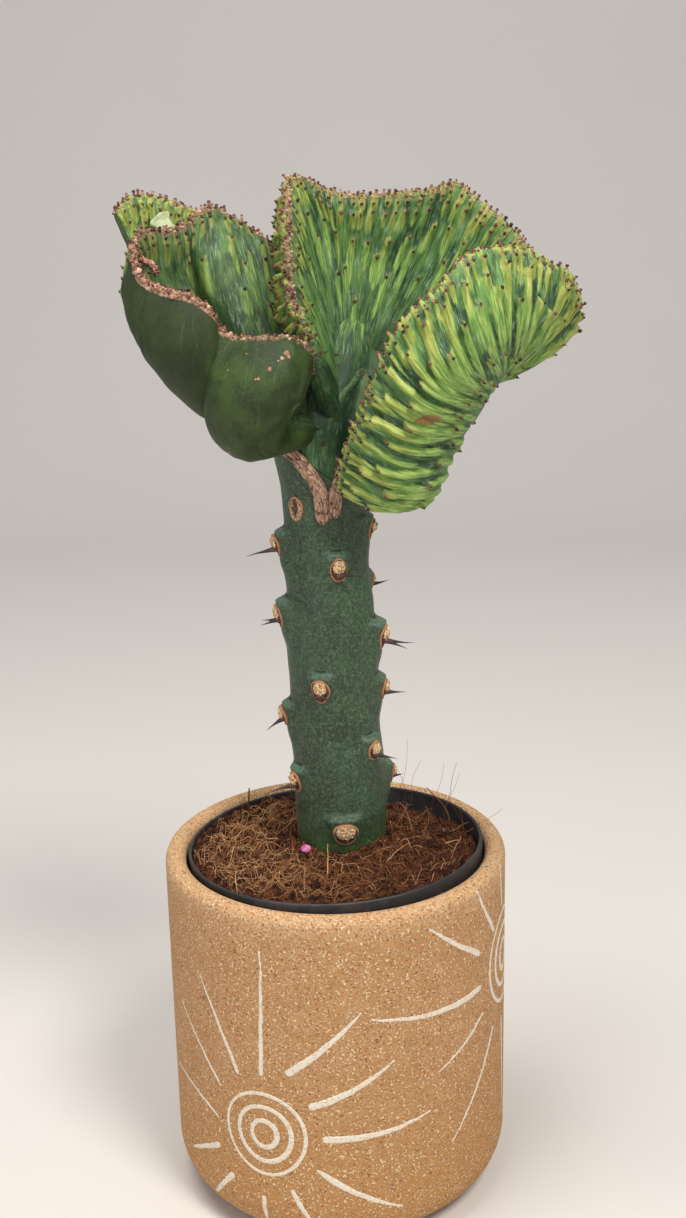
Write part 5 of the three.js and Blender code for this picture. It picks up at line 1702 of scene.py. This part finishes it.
def corky_limb(stations, seed):
    """A ridge of cork along the stem, flat on the skin, with plates and cracks along it."""
    stations = np.array(stations, float)
    line = smooth_line(np.column_stack([stations[:, 0] / 3, stations[:, 1], stations[:, 2]]),
                       np.linspace(0, 1, LIMB_POINTS))
    path = stem_point(line[:, 0] * 3, line[:, 1], 0.0)
    share = np.linspace(0, 1, LIMB_POINTS)
    ends = np.sqrt(np.clip(1 - (2 * share - 1) ** 16, 0.01, 1))
    run = unit(np.gradient(path, axis=0))
    outward = unit((path - [0, 0, 1]) * [1, 1, 0] - np.column_stack(
        [smooth_height(path[:, 2], COLUMN, 1), np.zeros((LIMB_POINTS, 2))]))
    across = np.cross(run, outward)
    angle = full_turn(LIMB_AROUND)
    wide = (line[:, 2] * ends)[:, None]
    travelled = run_lengths(path)[:, None]
    skin_place = np.stack([np.sin(angle) * wide * 1.6, np.cos(angle) * wide * 1.6,
                           travelled * 0.4 + 0 * angle], -1)
    plates = 0.35 * ripple(skin_place, 2.6, seed) + 0.25 * ripple(skin_place, 1.3, seed + 1)
    plates = plates - 0.55 * np.exp(-(ripple(skin_place, 4.2, seed + 2) / 0.16) ** 2)
    upper = 0.46 * np.maximum(np.sin(angle), 0) ** 0.4
    lift = (upper + 0.5 * np.minimum(np.sin(angle), 0)) * wide
    lift = lift + plates * (np.sin(angle) > -0.2)
    loops = (path[:, None] + across[:, None] * (np.cos(angle) * wide)[..., None]
             + outward[:, None] * lift[..., None])
    mesh = loops_skin(loops)
    grain = np.vstack([skin_place.reshape(-1, 3), skin_place[0, 0], skin_place[-1, 0]])
    return mesh, grain


callus_cork, place, shader = new_finish("callus_cork")
grain = place.value("grain", "Vector")
flake = grain.noise(1.5, 5, 0.7)
cracks = grain.cells(2.2, "DISTANCE_TO_EDGE").step(0.09, 0.02) * place.noise(4).step(0.42, 0.56)
cork_colour = flake.step(0.34, 0.66).mix((168, 128, 106), (232, 192, 164)).under(
    (cracks * 0.75, (78, 54, 48)),
    (place.noise(5, 3).step(0.52, 0.7) * 0.35, (112, 86, 80)))
coat_with(shader, cork_colour, (flake - cracks * 0.7).bump(1.3), 0.88, 0.25)
# The healed seam round the sides and the back: a thin corky line along the top of the stem.
seam_at = np.arange(34.0, 288.0, 12.0)
seam = np.column_stack([seam_at, seam_height(stem_point, seam_at),
                        np.full(len(seam_at), SEAM_HALF)])
limbs = [corky_limb(stations, 101 + 10 * k) for k, stations in enumerate(LIMBS + [seam])]
make_piece("healed_callus", *join([mesh for mesh, _ in limbs]), callus_cork, "cork",
           ["graft_callus"], {"grain": np.vstack([grain for _, grain in limbs]) * MM})


# The fertiliser prill.
# One pink resin-coated bead of slow fertiliser, that lies on the soil at the stem's foot.

low_corner, high_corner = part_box("pink_prill")
prill_middle = (np.array(low_corner) + np.array(high_corner)) / 2 / MM
prill_half = (np.array(high_corner) - np.array(low_corner)) / 2 / MM
round_points, round_faces = finer(*finer(bead_points, bead_faces))
resin, place, shader = new_finish("pink_resin")
blotch = place.noise(1.6, 4, 0.6)
pink = blotch.step(0.4, 0.65).mix((196, 74, 148), (226, 150, 190))
coat_with(shader, pink, blotch.bump(0.2), 0.5)
dented = round_points * (1 + 0.05 * ripple(round_points, 1.6, 121))[:, None]
make_piece("fertiliser_prill", prill_middle + dented * prill_half, [round_faces], resin, "prill",
           ["pink_prill"])


# The floor, the light and the camera.
# A plain pale sweep, two soft lights above the front and a weak fill, and the camera at the
# photograph's place: level with the crest's top, looking down.

FLOOR_HALF = 4.0
SWEEP_FROM = 1.2
SWEEP_ROUNDING = 0.6
SWEEP_TOP = 3.0

sweep_profile = [(-FLOOR_HALF, 0.0), (SWEEP_FROM, 0.0)]
sweep_profile += [(SWEEP_FROM + SWEEP_ROUNDING * math.sin(a), SWEEP_ROUNDING * (1 - math.cos(a)))
                  for a in np.linspace(0.1, math.pi / 2, 16)]
sweep_profile += [(SWEEP_FROM + SWEEP_ROUNDING, SWEEP_TOP)]
floor_mesh = bpy.data.meshes.new("floor")
floor_vertices = [(x, y, z) for y, z in sweep_profile for x in (-FLOOR_HALF, FLOOR_HALF)]
floor_faces = [(2 * i, 2 * i + 1, 2 * i + 3, 2 * i + 2) for i in range(len(sweep_profile) - 1)]
floor_mesh.from_pydata(floor_vertices, [], floor_faces)
floor_mesh.shade_smooth()
floor = placed("floor", floor_mesh)
paper, place, shader = new_finish("pale_paper")
paper_colour = place.noise(400, 2).mix((216, 212, 208), (221, 217, 213))
coat_with(shader, paper_colour, None, 0.95, 0.1)
floor_mesh.materials.append(paper)
floor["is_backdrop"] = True


def soft_light(name, place_at, aim, size, power, colour):
    """A round lamp at a place, turned to what it is aimed at."""
    light = bpy.data.lights.new(name, "AREA")
    light.shape = "DISK"
    light.size = size
    light.energy = power
    light.color = colour
    lamp = placed(name, light)
    lamp.location = place_at
    heading = np.array(aim) - np.array(place_at)
    lamp.rotation_euler = (math.acos(-heading[2] / np.linalg.norm(heading)), 0,
                           math.atan2(heading[1], heading[0]) - math.pi / 2)


soft_light("key", (0.5, -0.8, 1.45), (0, 0, 0.22), 0.5, 17.0, (1.0, 0.96, 0.9))
soft_light("top", (-0.3, -0.2, 1.6), (0, 0, 0.22), 0.7, 12, (1.0, 0.96, 0.9))
soft_light("fill", (-0.9, -1.3, 0.6), (0, 0, 0.2), 1.0, 4.5, (0.98, 0.98, 1.0))
bpy.context.scene.view_settings.view_transform = "Standard"
world = bpy.data.worlds.new("studio")
bpy.context.scene.world = world
world.use_nodes = True
sky = world.node_tree.nodes["Background"].inputs
sky["Color"].default_value = (0.9, 0.92, 0.95, 1)
sky["Strength"].default_value = 0.45

CAMERA_PLACE = (5.7, -608.0, 438.0)
CAMERA_DOWN = 16.0
CAMERA_ROLL = -1.26
PHOTO_HEIGHT = 1218
FOCAL_PIXELS = 1500
lens = bpy.data.cameras.new("camera")
lens.sensor_fit = "VERTICAL"
lens.sensor_height = 36
lens.lens = FOCAL_PIXELS * lens.sensor_height / PHOTO_HEIGHT
lens.clip_start = 0.01
camera = placed("camera", lens)
camera.location = [c * MM for c in CAMERA_PLACE]
camera.rotation_mode = "QUATERNION"
facing = Matrix.Rotation(math.radians(90 - CAMERA_DOWN), 3, "X")
rolled = facing @ Matrix.Rotation(math.radians(CAMERA_ROLL), 3, "Z")
camera.rotation_quaternion = rolled.to_quaternion()
bpy.context.scene.camera = camera

boxes = {"cad": cad_box, "visual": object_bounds()}
({name: [list(map(float, corner)) for corner in box]
           for name, box in boxes.items()})
